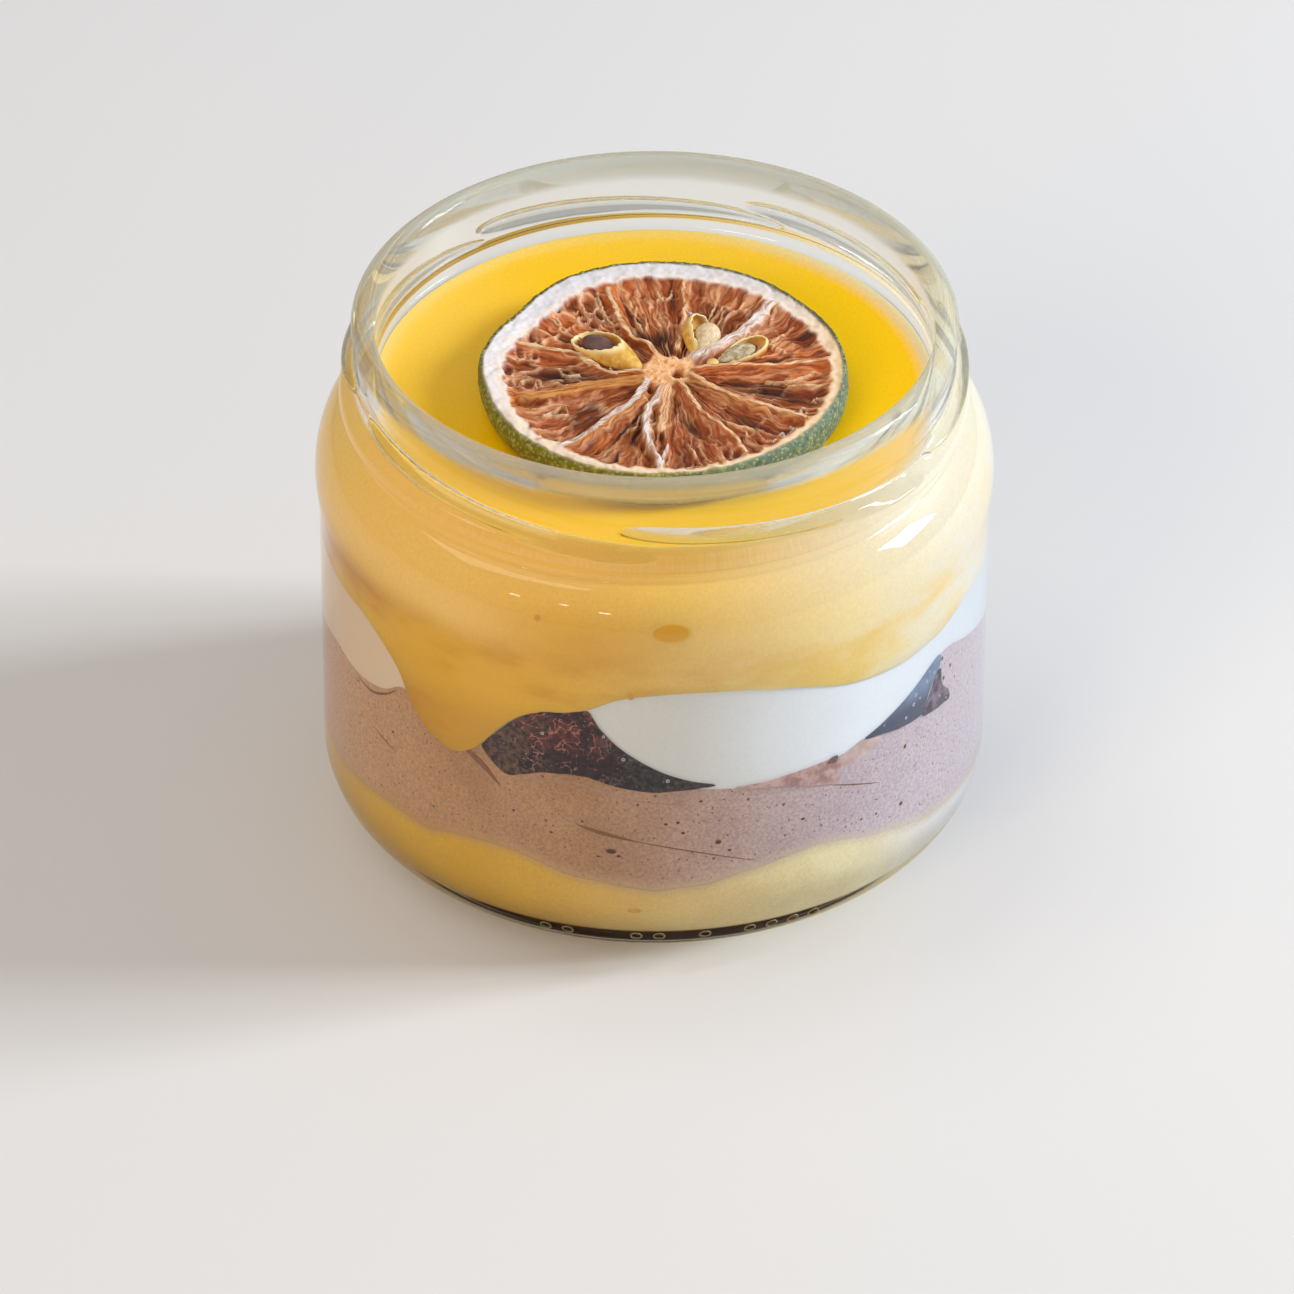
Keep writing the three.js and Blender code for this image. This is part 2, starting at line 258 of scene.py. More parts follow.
def new_object(name, bm, finish):
    """An object from a bmesh, with its finish, linked into the scene."""
    mesh = bpy.data.meshes.new(name)
    bm.to_mesh(mesh)
    bm.free()
    mesh.shade_smooth()
    mesh.materials.append(finish.material)
    made = bpy.data.objects.new(name, mesh)
    bpy.context.scene.collection.objects.link(made)
    return made


floor_finish = Finish("floor", Roughness=0.6)
floor_finish.colour(seen(220, 219, 219))
bm = bmesh.new()
bmesh.ops.create_grid(bm, x_segments=2, y_segments=2, size=FLOOR_SIZE)
floor = new_object("floor", bm, floor_finish)
floor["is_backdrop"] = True

# ---- Jar ---------------------------------------------------------------------------------------
# A jar of clear pressed glass, made in one piece: a pushed-up base that stands on a flat ring, a
# straight wall, a round shoulder, and a neck with a bead, six thread bars and a fired lip. It is
# turned from one outline, outside and inside, and the bars are then pushed out of the neck.

JAR_TURNS = 400
# The heel's curve starts at this radius, on the ring that the jar stands on, and runs this far
# out and up to the wall.
HEEL_START = 33.8
HEEL_OUT = 10
HEEL_UP = 9.5
WALL_OUTER = 43.8
FLOOR_HEIGHT = 4.1
WALL_INNER = 41.4
INNER_HEEL = 8.6
SHOULDER_OUT = 5.8
SHOULDER_UP = 9.0
SHOULDER_FOOT = 49.0
SHOULDER_END = 70
NECK_INNER = 36.3
NECK_FOOT = 60.4
LIP_TOP = 72.5
# The part of the neck, by height and radius, that the bars are pushed out of.
THREAD_LOW = 63
THREAD_HIGH = 70.5
THREAD_RADIUS = 38.5
# Each thread bar: the angle of its high end, the angle of its low end, and how far it falls.
LUGS = (
    (-6.5, 58, 3.2), (-69, 0.5, 3.2), (-78, -143, 2),
    (-141.5, -206.5, 2), (162, 97, 2), (110, 62, 2),
)
LUG_HEIGHT = 66.8
LUG_HALF_WIDTH = 1.35
LUG_DEPTH = 1.6
CLEAR_GLASS = (0.97, 0.985, 0.975)
LIP_GLASS = (0.86, 0.90, 0.85)
FOOT_SHADE_TINT = (0.30, 0.27, 0.14)
LIP_ROUGHNESS = 0.07
LIP_HAZE = 0.66
LIP_MILK = 0.26
BAR_HAZE = 0.45
HEEL_REFLECTION_CUT = 0.8


def arc(r, z, radius_r, radius_z, start, end, steps):
    """Points of an outline along part of an ellipse round (r, z), between two angles."""
    points = []
    for i in range(steps + 1):
        angle = math.radians(start + (end - start) * i / steps)
        points.append((r + radius_r * math.cos(angle), z + radius_z * math.sin(angle)))
    return points


def straight(start, end, steps):
    """Points of an outline along a straight line, without its first."""
    shares = [i / steps for i in range(1, steps + 1)]
    return [
        (start[0] + (end[0] - start[0]) * s, start[1] + (end[1] - start[1]) * s) for s in shares
    ]


def turned(profile, steps):
    """A closed bmesh turned about the upright axis from (r, z) points in millimetres."""
    bm = bmesh.new()
    rows = len(profile) - 1
    bmesh.ops.create_grid(bm, x_segments=steps, y_segments=rows, size=0.5)
    for vert in bm.verts:
        r, z = profile[round((vert.co.y + 0.5) * rows)]
        turn = 2 * math.pi * (vert.co.x + 0.5)
        vert.co = Vector((r * math.sin(turn), -r * math.cos(turn), z)) * MM
    bmesh.ops.remove_doubles(bm, verts=bm.verts, dist=1e-7)
    bmesh.ops.recalc_face_normals(bm, faces=bm.faces)
    return bm


def spots(made):
    """The x, y and z of a piece's vertices, in millimetres."""
    flat = np.empty(len(made.data.vertices) * 3)
    made.data.vertices.foreach_get("co", flat)
    return (flat / MM).reshape(-1, 3).T


def move(made, x, y, z):
    """Moves a piece's vertices to new places, in millimetres."""
    made.data.vertices.foreach_set("co", np.column_stack((x, y, z)).ravel() * MM)
    made.data.update()


def mark(made, name, values):
    """Keeps a number, a vector or a colour for each vertex, for the finish to read."""
    kinds = {1: ("FLOAT", "value"), 3: ("FLOAT_VECTOR", "vector"), 4: ("FLOAT_COLOR", "color")}
    kind, field = kinds[1 if values.ndim == 1 else values.shape[1]]
    made.data.attributes.new(name, kind, "POINT").data.foreach_set(field, values.ravel())


def on_ring(r, angle):
    """The x and y at a radius and an angle from the front."""
    turn = np.radians(angle)
    return r * np.sin(turn), -r * np.cos(turn)


def smooth(value, low, high):
    """Nought up to low, one from high on, and a smooth change between."""
    share = np.clip((value - low) / (high - low), 0, 1)
    return share * share * (3 - 2 * share)


def lug_rise(angle, z):
    """How far the thread bars stand out of the neck at an angle and height."""
    rise = np.zeros_like(z)
    for high, low, fall in LUGS:
        way = math.copysign(1, low - high)
        share = (way * (angle - high) % 360) / abs(low - high)
        middle = LUG_HEIGHT - fall * share
        taper = np.clip(1 - np.abs(2 * share - 1) ** 6, 0, 1) ** 0.6
        half_width = LUG_HALF_WIDTH * (0.25 + 0.75 * taper) * (1.1 - 0.4 * np.clip(share, 0, 1))
        across = np.clip(np.abs(z - middle) / half_width, 0, 1)
        rise = np.maximum(rise, LUG_DEPTH * taper * np.cos(np.pi / 2 * across))
    return rise


jar_profile = (
    # Outside: the pushed-up base and its ring, the heel, the wall and the shoulder.
    [(0, 1.4), (12, 1.4), (22, 1.3), (26, 1.1), (28.5, 0.6), (30, 0.2), (31.2, 0)]
    + arc(HEEL_START, HEEL_UP, HEEL_OUT, HEEL_UP, -90, 0, 34)
    + straight((WALL_OUTER, HEEL_UP), (WALL_OUTER, 46), 8)
    + arc(39, 50.5, 5.3, 8.6, -12, 80, 26)[1:]
    # The bead below the thread, the neck and the rounded lip.
    + [(39.75, 59.7), (39.7, 60.4)]
    + arc(39.7, 62.3, 1.3, 1.6, -75, 75, 12)
    + [(39.45, 64.2)]
    + straight((39.15, 64.5), (39.1, 71.3), 44)
    + arc(37.8, LIP_TOP, 1.5, 1.5, -30, 180, 18)
    # Inside, going down: the neck, the shoulder, the wall, the heel and the floor.
    + straight((NECK_INNER, LIP_TOP), (NECK_INNER, 61.2), 6)
    + [(36.35, 60.6)]
    + arc(WALL_INNER - SHOULDER_OUT, SHOULDER_FOOT, SHOULDER_OUT, SHOULDER_UP, SHOULDER_END, 0, 16)
    + straight((WALL_INNER, SHOULDER_FOOT), (WALL_INNER, 12), 5)
    + arc(WALL_INNER - INNER_HEEL, FLOOR_HEIGHT + INNER_HEEL, INNER_HEEL, INNER_HEEL, 0, -90, 16)
    + [(20, FLOOR_HEIGHT), (10, FLOOR_HEIGHT), (0, FLOOR_HEIGHT)]
)

# The lip is a little rough, hazy and milky from the fire, and the bars are hazy too. The foot of
# the glass is tinted dark, and the outer face of the heel lets light straight through and so
# mirrors little of the bright floor: both are painted shade, as if the floor under the jar lay in
# shadow. Light for what is inside passes straight through.
glass = Finish("clear_glass", IOR=1.5, Transmission_Weight=1.0)
# Painted shade: the glass is tinted dark olive at its foot.
foot = glass.along("Z", 0.8, 1.7)
to_lip = glass.along("Z", 69, 74)
fired_lip = glass.along("Z", 70.4, 72.0)
# Painted shade: the heel's outer face lets light straight through and mirrors little of the floor.
heel_band = glass.along("Z", 6.2, 6.8, HEEL_REFLECTION_CUT, 0.0)
heel_band = glass.maths("MULTIPLY", glass.along("Z", 0.9, 1.8), heel_band)
glass.colour(glass.mix(foot, FOOT_SHADE_TINT, glass.mix(to_lip, CLEAR_GLASS, LIP_GLASS)))
glass.feed(glass.shader.inputs["Roughness"], glass.maths("MULTIPLY", fired_lip, LIP_ROUGHNESS))
lip_haze = glass.node("ShaderNodeBsdfTransparent", Color=(0.76, 0.77, 0.71))
milk = glass.node("ShaderNodeBsdfDiffuse", Color=(0.62, 0.63, 0.58))
unreflecting_heel = glass.node("ShaderNodeBsdfTransparent", Color=(0.95, 0.88, 0.7))
see_through = glass.node("ShaderNodeBsdfTransparent", Color=(0.94, 0.96, 0.95))
light_path = glass.node("ShaderNodeLightPath")
let_light_in = glass.maths(
    "MAXIMUM", light_path.outputs["Is Shadow Ray"], light_path.outputs["Is Diffuse Ray"]
)
haze = glass.maths("MAXIMUM", glass.maths("MULTIPLY", fired_lip, LIP_HAZE), glass.attribute("bar"))
surface_mix = glass.shader.outputs[0]
for share, coat in (
    (haze, lip_haze), (glass.maths("MULTIPLY", fired_lip, LIP_MILK), milk),
    (heel_band, unreflecting_heel), (let_light_in, see_through),
):
    surface_mix = glass.mix_shaders(share, surface_mix, coat.outputs[0])
glass.feed(glass.output.inputs["Surface"], surface_mix)

jar = new_object("glass_jar", turned(jar_profile, JAR_TURNS), glass)
x, y, z = spots(jar)
r = np.hypot(x, y)
angle = np.degrees(np.arctan2(x, -y))
on_neck = (r > THREAD_RADIUS) & (z > THREAD_LOW) & (z < THREAD_HIGH)
bars = np.where(on_neck, lug_rise(angle, z), 0)
x, y = on_ring(r + bars, angle)
move(jar, x, y, z)
mark(jar, "bar", BAR_HAZE * smooth(bars, 0.02, 0.5))
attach(jar, "root")
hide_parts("jar")

# ---- Heel dots ---------------------------------------------------------------------------------
# The dots moulded in the glass round the heel, which the maker's machine uses to line the jar
# up. Each shows as a small loop, because its rim catches the light, and is a thin ring here,
# half sunk in the outer face of the heel.

DOT_RADIUS = 0.72
DOT_RIM = 0.11
DOT_SIDES = 24
RIM_SIDES = 8
DOT_HEIGHT = 5.4
DOT_PROUD = 0.04
DOT_PITCH = 4.0
DOT_OFFSET = 1.1
DOT_SLOTS = (
    -5, -4, -1, 0, 2, 4, 5, 6, 7, 26, 27, 30, 31, 33, 35, 38, 39, 41, 44, 45, 47, 50, 51, 52, 55,
    58, 59, 61, 63, 64,
)


def mottled(name, dark, light, scale, detail=2.0, rough=0.5, reach=None, **sockets):
    """A finish in two tones, mottled by noise. A reach draws the noise out between two of its
    values, so that more of it is fully dark or light."""
    made = Finish(name, **sockets)
    if reach:
        share = made.patches(*reach, scale, detail, rough)
    else:
        share = made.noise(scale, detail, rough)
    made.colour(made.mix(share, dark, light))
    return made


dot_finish = mottled("moulded_dot", seen(104, 90, 54), seen(152, 134, 94), 900,
                     Roughness=0.25, Transmission_Weight=0.35)
one_loop = bpy.data.meshes.new("one_loop")
rim = [
    (DOT_RADIUS + DOT_RIM * math.cos(t), DOT_RIM * math.sin(t))
    for t in np.linspace(0, 2 * math.pi, RIM_SIDES + 1)
]
bm = turned(rim, DOT_SIDES)
bm.to_mesh(one_loop)
bm.free()
drop = (HEEL_UP - DOT_HEIGHT) / HEEL_UP
level = math.sqrt(1 - drop * drop)
dot_ring = HEEL_START + DOT_PROUD + HEEL_OUT * level
lean = math.atan2(HEEL_OUT * drop, HEEL_UP * level)
bm = bmesh.new()
for slot in DOT_SLOTS:
    bm.from_mesh(one_loop)
    turn = math.radians(slot * DOT_PITCH + DOT_OFFSET)
    place = (
        Matrix.Rotation(turn, 4, "Z") @ Matrix.Translation(Vector((0, -dot_ring, DOT_HEIGHT)) * MM)
        @ Matrix.Rotation(math.pi / 2 + lean, 4, "X")
    )
    bmesh.ops.transform(bm, matrix=place, verts=bm.verts[-DOT_SIDES * RIM_SIDES:])
heel_dots = new_object("heel_dots", bm, dot_finish)
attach(heel_dots, "root")
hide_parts("jar")

# ---- Lemon cream -------------------------------------------------------------------------------
# The bottom layer: a smooth lemon cream, poured in first and set. It is warm at the left and pale
# at the right, which is painted light, and dark on its underside, which is painted shade. Like
# each layer it is a solid that reaches just into the wall, and where two meet, the one that lies
# in front stands a hair further out.

LAYER_TURNS = 360
# Pieces are turned with shares of their size, from nought to FULL, and placed after that.
FULL = 10
MIDDLE_SHARES = (0, 0.3, 0.6, 0.85)
CROWN_ROWS = 40
WOBBLE_ROUND = 6.0
# A boundary is level in the middle, up to this share of the radius, and has its curve in full
# from this far inside the wall.
EASE_FROM = 0.4
EASE_END = 0.5
THINNEST = 0.3
NEAR_WALL = 0.93
LAYER_CREASE = 50
BASE_BELOW_FLOOR = 0.15


def scrambled(code):
    """A fixed random number from 0 to 1 for each whole number."""
    code = (code ^ (code >> 13)) * 1274126177 & 0x7fffffff
    return (code >> 7) % 65536 / 65536


def hills(x, y, z, seed, octaves=1):
    """Smooth random hills from -1 to 1, one unit across, at points given as three arrays."""
    total, size = 0.0, 1.0
    for octave in range(octaves):
        cells = [np.floor(v).astype(np.int64) for v in (x, y, z)]
        parts = [v - cell for v, cell in zip((x, y, z), cells)]
        parts = [t * t * t * (t * (t * 6 - 15) + 10) for t in parts]
        for corner in range(8):
            weight = size
            code = np.int64(seed * 7919 + octave * 104729)
            for axis, prime in enumerate((73856093, 19349663, 83492791)):
                side = corner >> axis & 1
                weight = weight * (parts[axis] if side else 1 - parts[axis])
                code = code ^ (cells[axis] + side) * prime
            total = total + weight * (2 * scrambled(code) - 1)
        x, y, z, size = x * 2, y * 2, z * 2, size / 2
    return total


def inner_radius(z):
    """The radius of the jar's inner wall at a height."""
    drop = np.clip(FLOOR_HEIGHT + INNER_HEEL - z, 0, INNER_HEEL)
    heel = WALL_INNER - INNER_HEEL + np.sqrt(INNER_HEEL ** 2 - drop ** 2)
    end = math.radians(SHOULDER_END)
    top = SHOULDER_FOOT + SHOULDER_UP * math.sin(end)
    top_radius = WALL_INNER - SHOULDER_OUT + SHOULDER_OUT * math.cos(end)
    climb = np.clip((z - SHOULDER_FOOT) / SHOULDER_UP, 0, math.sin(end))
    shoulder = WALL_INNER - SHOULDER_OUT + SHOULDER_OUT * np.sqrt(1 - climb ** 2)
    neck = top_radius + (NECK_INNER - top_radius) * np.clip((z - top) / (NECK_FOOT - top), 0, 1)
    return np.where(z < SHOULDER_FOOT, heel, np.where(z < top, shoulder, neck))


def around(points):
    """A smooth closed curve of height against angle through [angle, height] points."""
    angles = np.array([a for a, _ in points], float)
    heights = np.array([h for _, h in points], float)
    angles = np.concatenate((angles[-2:] - 360, angles, angles[:3] + 360))
    heights = np.concatenate((heights[-2:], heights, heights[:3]))
    slopes = np.zeros_like(angles)
    slopes[1:-1] = (heights[2:] - heights[:-2]) / (angles[2:] - angles[:-2])

    def height(angle):
        angle = angles[2] + (angle - angles[2]) % 360
        i = np.searchsorted(angles, angle, side="right") - 1
        gap = angles[i + 1] - angles[i]
        t = (angle - angles[i]) / gap
        rise = (t ** 3 - 2 * t * t + t) * slopes[i] + (t ** 3 - t * t) * slopes[i + 1]
        return heights[i] + (heights[i + 1] - heights[i]) * t * t * (3 - 2 * t) + rise * gap

    return height


def surface(middle, points, wobble, seed):
    """A layer's boundary: its curve at the glass, easing to one height in the middle."""
    curve = around(points)

    def height(r, angle):
        across, back = on_ring(WOBBLE_ROUND, angle)
        at_glass = curve(angle) + wobble * hills(across, back, 0.5, seed, 3)
        ease = smooth(r, WALL_INNER * EASE_FROM, WALL_INNER - EASE_END)
        return middle + (at_glass - middle) * ease

    return height


def layer(name, low, high, proud, rows, finish, crown=None):
    """A closed layer between two surfaces, standing proud mm into the glass. It is turned with
    shares of the radius and height, FULL at the most, and each vertex then goes to its place."""
    inside = [i / CROWN_ROWS for i in range(CROWN_ROWS)] if crown else MIDDLE_SHARES
    profile = [(share * FULL, 0) for share in MIDDLE_SHARES]
    profile += [(FULL, i / rows * FULL) for i in range(rows + 1)]
    profile += [(share * FULL, FULL) for share in reversed(inside)]
    made = new_object(name, turned(profile, LAYER_TURNS), finish)
    x, y, z = spots(made)
    share = np.hypot(x, y) / FULL
    up = z / FULL
    angle = np.degrees(np.arctan2(x, -y))
    foot = low(share * WALL_INNER, angle)
    top = np.maximum(high(share * WALL_INNER, angle), foot + THINNEST)
    z = foot + (top - foot) * up
    if crown:
        z = np.where(up > 0.999, crown(share * NECK_INNER, angle), z)
    x, y = on_ring(share * (inner_radius(z) + proud), angle)
    move(made, x, y, z)
    mark(made, "above_foot", z - foot)
    mark(made, "below_top", top - z)
    mark(made, "near_wall", smooth(share, NEAR_WALL, 1.0))
    made.data.set_sharp_from_angle(angle=math.radians(LAYER_CREASE))
    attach(made, "root")
    return made


base_top = surface(13, [
    (-71, 12.6), (-55, 13.9), (-43, 14.4), (-37, 15.6), (-25, 16.1), (-15, 14.1), (0, 12.7),
    (9, 13.3), (15, 14.3), (24, 15.4), (32, 15.5), (42, 13.7), (53, 11.3), (65, 9.5), (80, 8),
    (100, 9), (125, 12), (152, 15), (180, 13), (205, 15.6), (230, 14.5), (258, 12),
], 0.25, 3)

# The tones, at the left and at the right, in which this layer and the mousse meet. The change from
# one to the other is painted light: warm lamp light at the left, cool window light at the right.
MEETING_IN_WARM_LIGHT = seen(190, 146, 96)
MEETING_IN_COOL_LIGHT = seen(206, 190, 168)

# Painted light: warm at the left, paler to the right and brighter still at the right edge. Cloudy,
# dull where it meets the mousse, and dark below, which is painted shade on the underside.
base_finish = Finish("lemon_cream", Roughness=0.42, Subsurface_Weight=0.2, Subsurface_Scale=0.004,
                     Subsurface_Radius=(1.0, 0.7, 0.3), Specular_IOR_Level=0.0)
warm_to_cool_light = base_finish.along("X", -18, 30)
cream = base_finish.mix(warm_to_cool_light, seen(214, 166, 56), seen(238, 228, 186))
right_edge_shading = base_finish.along("X", 24, 38)
cream = base_finish.mix(right_edge_shading, cream, seen(224, 224, 232))
cloud = base_finish.patches(0.3, 0.7, 120, 3)
cream = base_finish.mix(cloud, base_finish.mix(0.2, cream, seen(200, 140, 40)), cream)
soft_edge = base_finish.step(base_finish.attribute("below_top"), -0.8, 1.7)
meeting = base_finish.mix(warm_to_cool_light, MEETING_IN_WARM_LIGHT, MEETING_IN_COOL_LIGHT)
cream = base_finish.grainy(base_finish.mix(soft_edge, meeting, cream))
# Painted shade: the underside is dark.
underside = base_finish.along("Z", 4.0, 4.4)
in_shade = base_finish.mix(right_edge_shading, seen(178, 122, 20), seen(150, 146, 120))
base_finish.colour(base_finish.mix(underside, in_shade, cream))
base_finish.bump(base_finish.noise(500, 3), 0.05 * MM, 0.4)
lemon_base = layer(
    "lemon_base_layer", lambda r, angle: FLOOR_HEIGHT - BASE_BELOW_FLOOR + 0 * r, base_top,
    proud=0.2, rows=48, finish=base_finish,
)
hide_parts("lemon_base")

# ---- Berry mousse ------------------------------------------------------------------------------
# The berry mousse, spooned on the lemon cream: mauve and matte, full of fine dark pores, with the
# yellow of the layer below bleeding into its foot. It is warmer at the left and more lilac at the
# right, which is painted light: the warm lamp at the left and the cool window at the right.

INTO_BASE = 0.02
LAYER_OVERLAP = 0.5

mousse_top = surface(30.5, [
    (-84, 29.1), (-73, 30.8), (-64, 30.4), (-58, 30.9), (-54, 32), (-49, 34.4), (-42, 33),
    (-33, 32.4), (-27, 31), (-18, 31.2), (-6, 30.4), (2, 29.3), (14, 28), (24, 28.1), (34, 28.8),
    (40, 29.6), (46, 30.8), (52, 32.6), (61, 35.4), (68, 33.8), (76, 31.8), (84, 29.7),
    (100, 28.5), (116, 30), (132, 31.6), (160, 29), (190, 33.5), (222, 29.5), (248, 28.6),
], 0.2, 7)
lemon_bottom = surface(41, [
    (-85, 42.7), (-78, 41.9), (-69, 41.5), (-61, 41.3), (-55, 39.4), (-50, 36.6), (-47, 32.9),
    (-43.5, 30.4), (-39, 28.9), (-36, 29.0), (-33, 30.3), (-31, 31.8), (-28, 34.7), (-24, 37.6),
    (-20, 39.1), (-14.5, 40), (-11, 40.9), (-6, 42.8), (1.6, 43.8), (9.6, 43.9), (18, 43.3),
    (27, 41.8), (36, 39.9), (44, 39.1), (52, 38.9), (60, 39.2), (69, 40.1), (84, 39.8),
    (101, 41.5), (119, 42.5), (136, 40), (149, 34.6), (156, 33.2), (164, 36), (178, 41),
    (196, 43), (213, 42), (231, 40.4), (252, 42.4),
], 0.1, 11)

# Clouded mauve at the left and lilac at the right, then the grain, the pores and the foot. The
# warmer far left and the lilac right are painted light, and the darker right edge is painted
# shade.
mousse_finish = Finish("mauve_mousse", Roughness=0.6, Subsurface_Weight=0.1,
                       Subsurface_Scale=0.003, Subsurface_Radius=(1.0, 0.6, 0.5),
                       Specular_IOR_Level=0.12)
cloud = mousse_finish.patches(0.3, 0.7, 70, 4)
mauve = mousse_finish.mix(cloud, seen(168, 122, 84), seen(188, 142, 104))
warm_light_far_left = mousse_finish.along("X", -20, -38)
mauve = mousse_finish.mix(warm_light_far_left, mauve, seen(200, 152, 112))
warm_to_cool_light = mousse_finish.along("X", -12, 30)
lilac = mousse_finish.mix(cloud, seen(188, 169, 178), seen(200, 183, 191))
mauve = mousse_finish.mix(warm_to_cool_light, mauve, lilac)
right_edge_shading = mousse_finish.along("X", 30, 42)
mauve = mousse_finish.mix(right_edge_shading, mauve, seen(184, 170, 180))
mauve = mousse_finish.grainy(mauve, 0.24)
small = mousse_finish.pores(1250, 0.2, 0.5)
large = mousse_finish.pores(430, 0.12, 0.3)
mauve = mousse_finish.mix(mousse_finish.maths("MINIMUM", small, large), seen(118, 82, 74), mauve)
bleed = mousse_finish.step(mousse_finish.attribute("above_foot"), -1.2, 2.2)
meeting_warm_to_cool_light = mousse_finish.along("X", -25, 30)
meeting = mousse_finish.mix(meeting_warm_to_cool_light, MEETING_IN_WARM_LIGHT, MEETING_IN_COOL_LIGHT)
mousse_finish.colour(mousse_finish.mix(bleed, meeting, mauve))
mousse_finish.bump(mousse_finish.noise(700, 4), 0.08 * MM, 0.5)
berry_mousse = layer(
    "berry_mousse_layer", lambda r, angle: base_top(r, angle) - INTO_BASE,
    lambda r, angle: np.minimum(mousse_top(r, angle), lemon_bottom(r, angle) + LAYER_OVERLAP),
    proud=0.14, rows=60, finish=mousse_finish,
)
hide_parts("berry_mousse")

# ---- Whipped cream -----------------------------------------------------------------------------
# The whipped cream, piped on the mousse: white and smooth, with the warm light of the lamp at the
# left painted into it, and pinched out where the curd has run down the glass.

INTO_MOUSSE = 0.8

# White, a little clouded, with painted light: brighter and cooler on the lit side at the right,
# warm at the far left, and darker at the right edge, which is painted shade.
cream_finish = Finish("whipped_cream", Roughness=0.5, Subsurface_Weight=0.25,
                      Subsurface_Scale=0.004, Subsurface_Radius=(1.0, 0.8, 0.7),
                      Specular_IOR_Level=0.12)
cloud = cream_finish.patches(0.3, 0.7, 90, 3)
warm_light_to_left = cream_finish.along("X", -8, -40)
lit_side = cream_finish.along("X", -2, 20)
white = cream_finish.mix(lit_side, seen(218, 216, 212), seen(232, 236, 244))
white = cream_finish.mix(cloud, cream_finish.mix(0.1, white, seen(190, 186, 180)), white)
right_edge_shading = cream_finish.along("X", 26, 42)
white = cream_finish.mix(right_edge_shading, white, seen(200, 204, 212))
white = cream_finish.mix(warm_light_to_left, white, seen(226, 194, 160))
cream_finish.colour(cream_finish.grainy(white, 0.03))
cream_finish.bump(cream_finish.noise(420, 3), 0.06 * MM, 0.4)
white_cream = layer(
    "white_cream_layer", lambda r, angle: mousse_top(r, angle) - INTO_MOUSSE,
    lambda r, angle: lemon_bottom(r, angle) + LAYER_OVERLAP,
    proud=0.08, rows=30, finish=cream_finish,
)
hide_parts("white_cream")

# ---- Lemon curd mousse -------------------------------------------------------------------------
# The lemon curd mousse, poured on last: deep yellow and glossy on top, paler against the glass,
# with a drip that has run down the front left. Its top is almost flat and climbs at the glass.

CURD_HEIGHT = 62.0
CURD_SWELL = 0.12
CURD_SWELL_WIDTH = 12
MENISCUS = 0.7
MENISCUS_REACH = 0.9


def curd_top(r, angle):
    """The curd's top, almost flat, and climbing where it meets the glass."""
    x, y = on_ring(r / CURD_SWELL_WIDTH, angle)
    climb = MENISCUS * np.exp((np.minimum(r, NECK_INNER) - NECK_INNER) / MENISCUS_REACH)
    return CURD_HEIGHT + CURD_SWELL * hills(x, y, 0.5, 5) + climb


curd_finish = Finish("lemon_curd", Roughness=0.3, Subsurface_Weight=0.3, Subsurface_Scale=0.006,
                     Subsurface_Radius=(1.0, 0.65, 0.15), Specular_IOR_Level=0.12)
# Against the glass: drawn-out streaks of pale and gold, brighter high up, deeper in the drip.
drawn_out = curd_finish.stretched(1, 1, 2.6)
streak = curd_finish.patches(0.4, 0.68, 45, 3, 0.6, drawn_out)
# Painted light: warm gold at the left, pale at the right, and paler still at the right edge.
warm_to_cool_light = curd_finish.along("X", -18, 28)
pale = curd_finish.mix(warm_to_cool_light, seen(230, 174, 40), seen(242, 217, 156))
gold = curd_finish.mix(warm_to_cool_light, seen(206, 140, 12), seen(234, 196, 106))
right_edge_shading = curd_finish.along("X", 22, 40)
pale = curd_finish.mix(right_edge_shading, pale, seen(222, 214, 200))
bright_band = curd_finish.along("Z", 46, 51)
streak = curd_finish.mix(curd_finish.maths("MULTIPLY", bright_band, 0.7), streak, (0, 0, 0))
against_glass = curd_finish.mix(streak, pale, gold)
upper_left = curd_finish.along("X", -8, -26, 0.0, 0.75)
upper_left = curd_finish.maths("MULTIPLY", upper_left, bright_band)
against_glass = curd_finish.mix(upper_left, against_glass, seen(248, 205, 120))
low_down = curd_finish.along("Z", 42, 33, 0.0, 0.7)
against_glass = curd_finish.mix(low_down, against_glass, seen(200, 142, 40))
# On top: golden, with a painted sheen that makes it paler at the left and the back, a deeper
# orange at the front left that is painted light where the slice's shadow falls, and whitish where
# it climbs the glass, most at the right, partly a painted highlight of the window.
on_top = curd_finish.along("Z", 50, 58)
window_light_share = curd_finish.along("X", 0, 36, 0.25, 1.0)
# Partly painted highlight: the rim where the curd climbs the glass, strongest at the right.
lit_top_rim = curd_finish.maths("MULTIPLY", curd_finish.attribute("near_wall"), window_light_share)
at_left = curd_finish.along("X", -6, -30, 0, 0.7)
# Painted sheen: paler at the left and the back.
paler = curd_finish.maths("MULTIPLY", at_left, curd_finish.along("Y", -14, 4))
paler = curd_finish.maths("MAXIMUM", paler, curd_finish.along("Y", 20, 36, 0, 0.5))
golden = curd_finish.mix(paler, seen(248, 194, 4), seen(248, 200, 72))
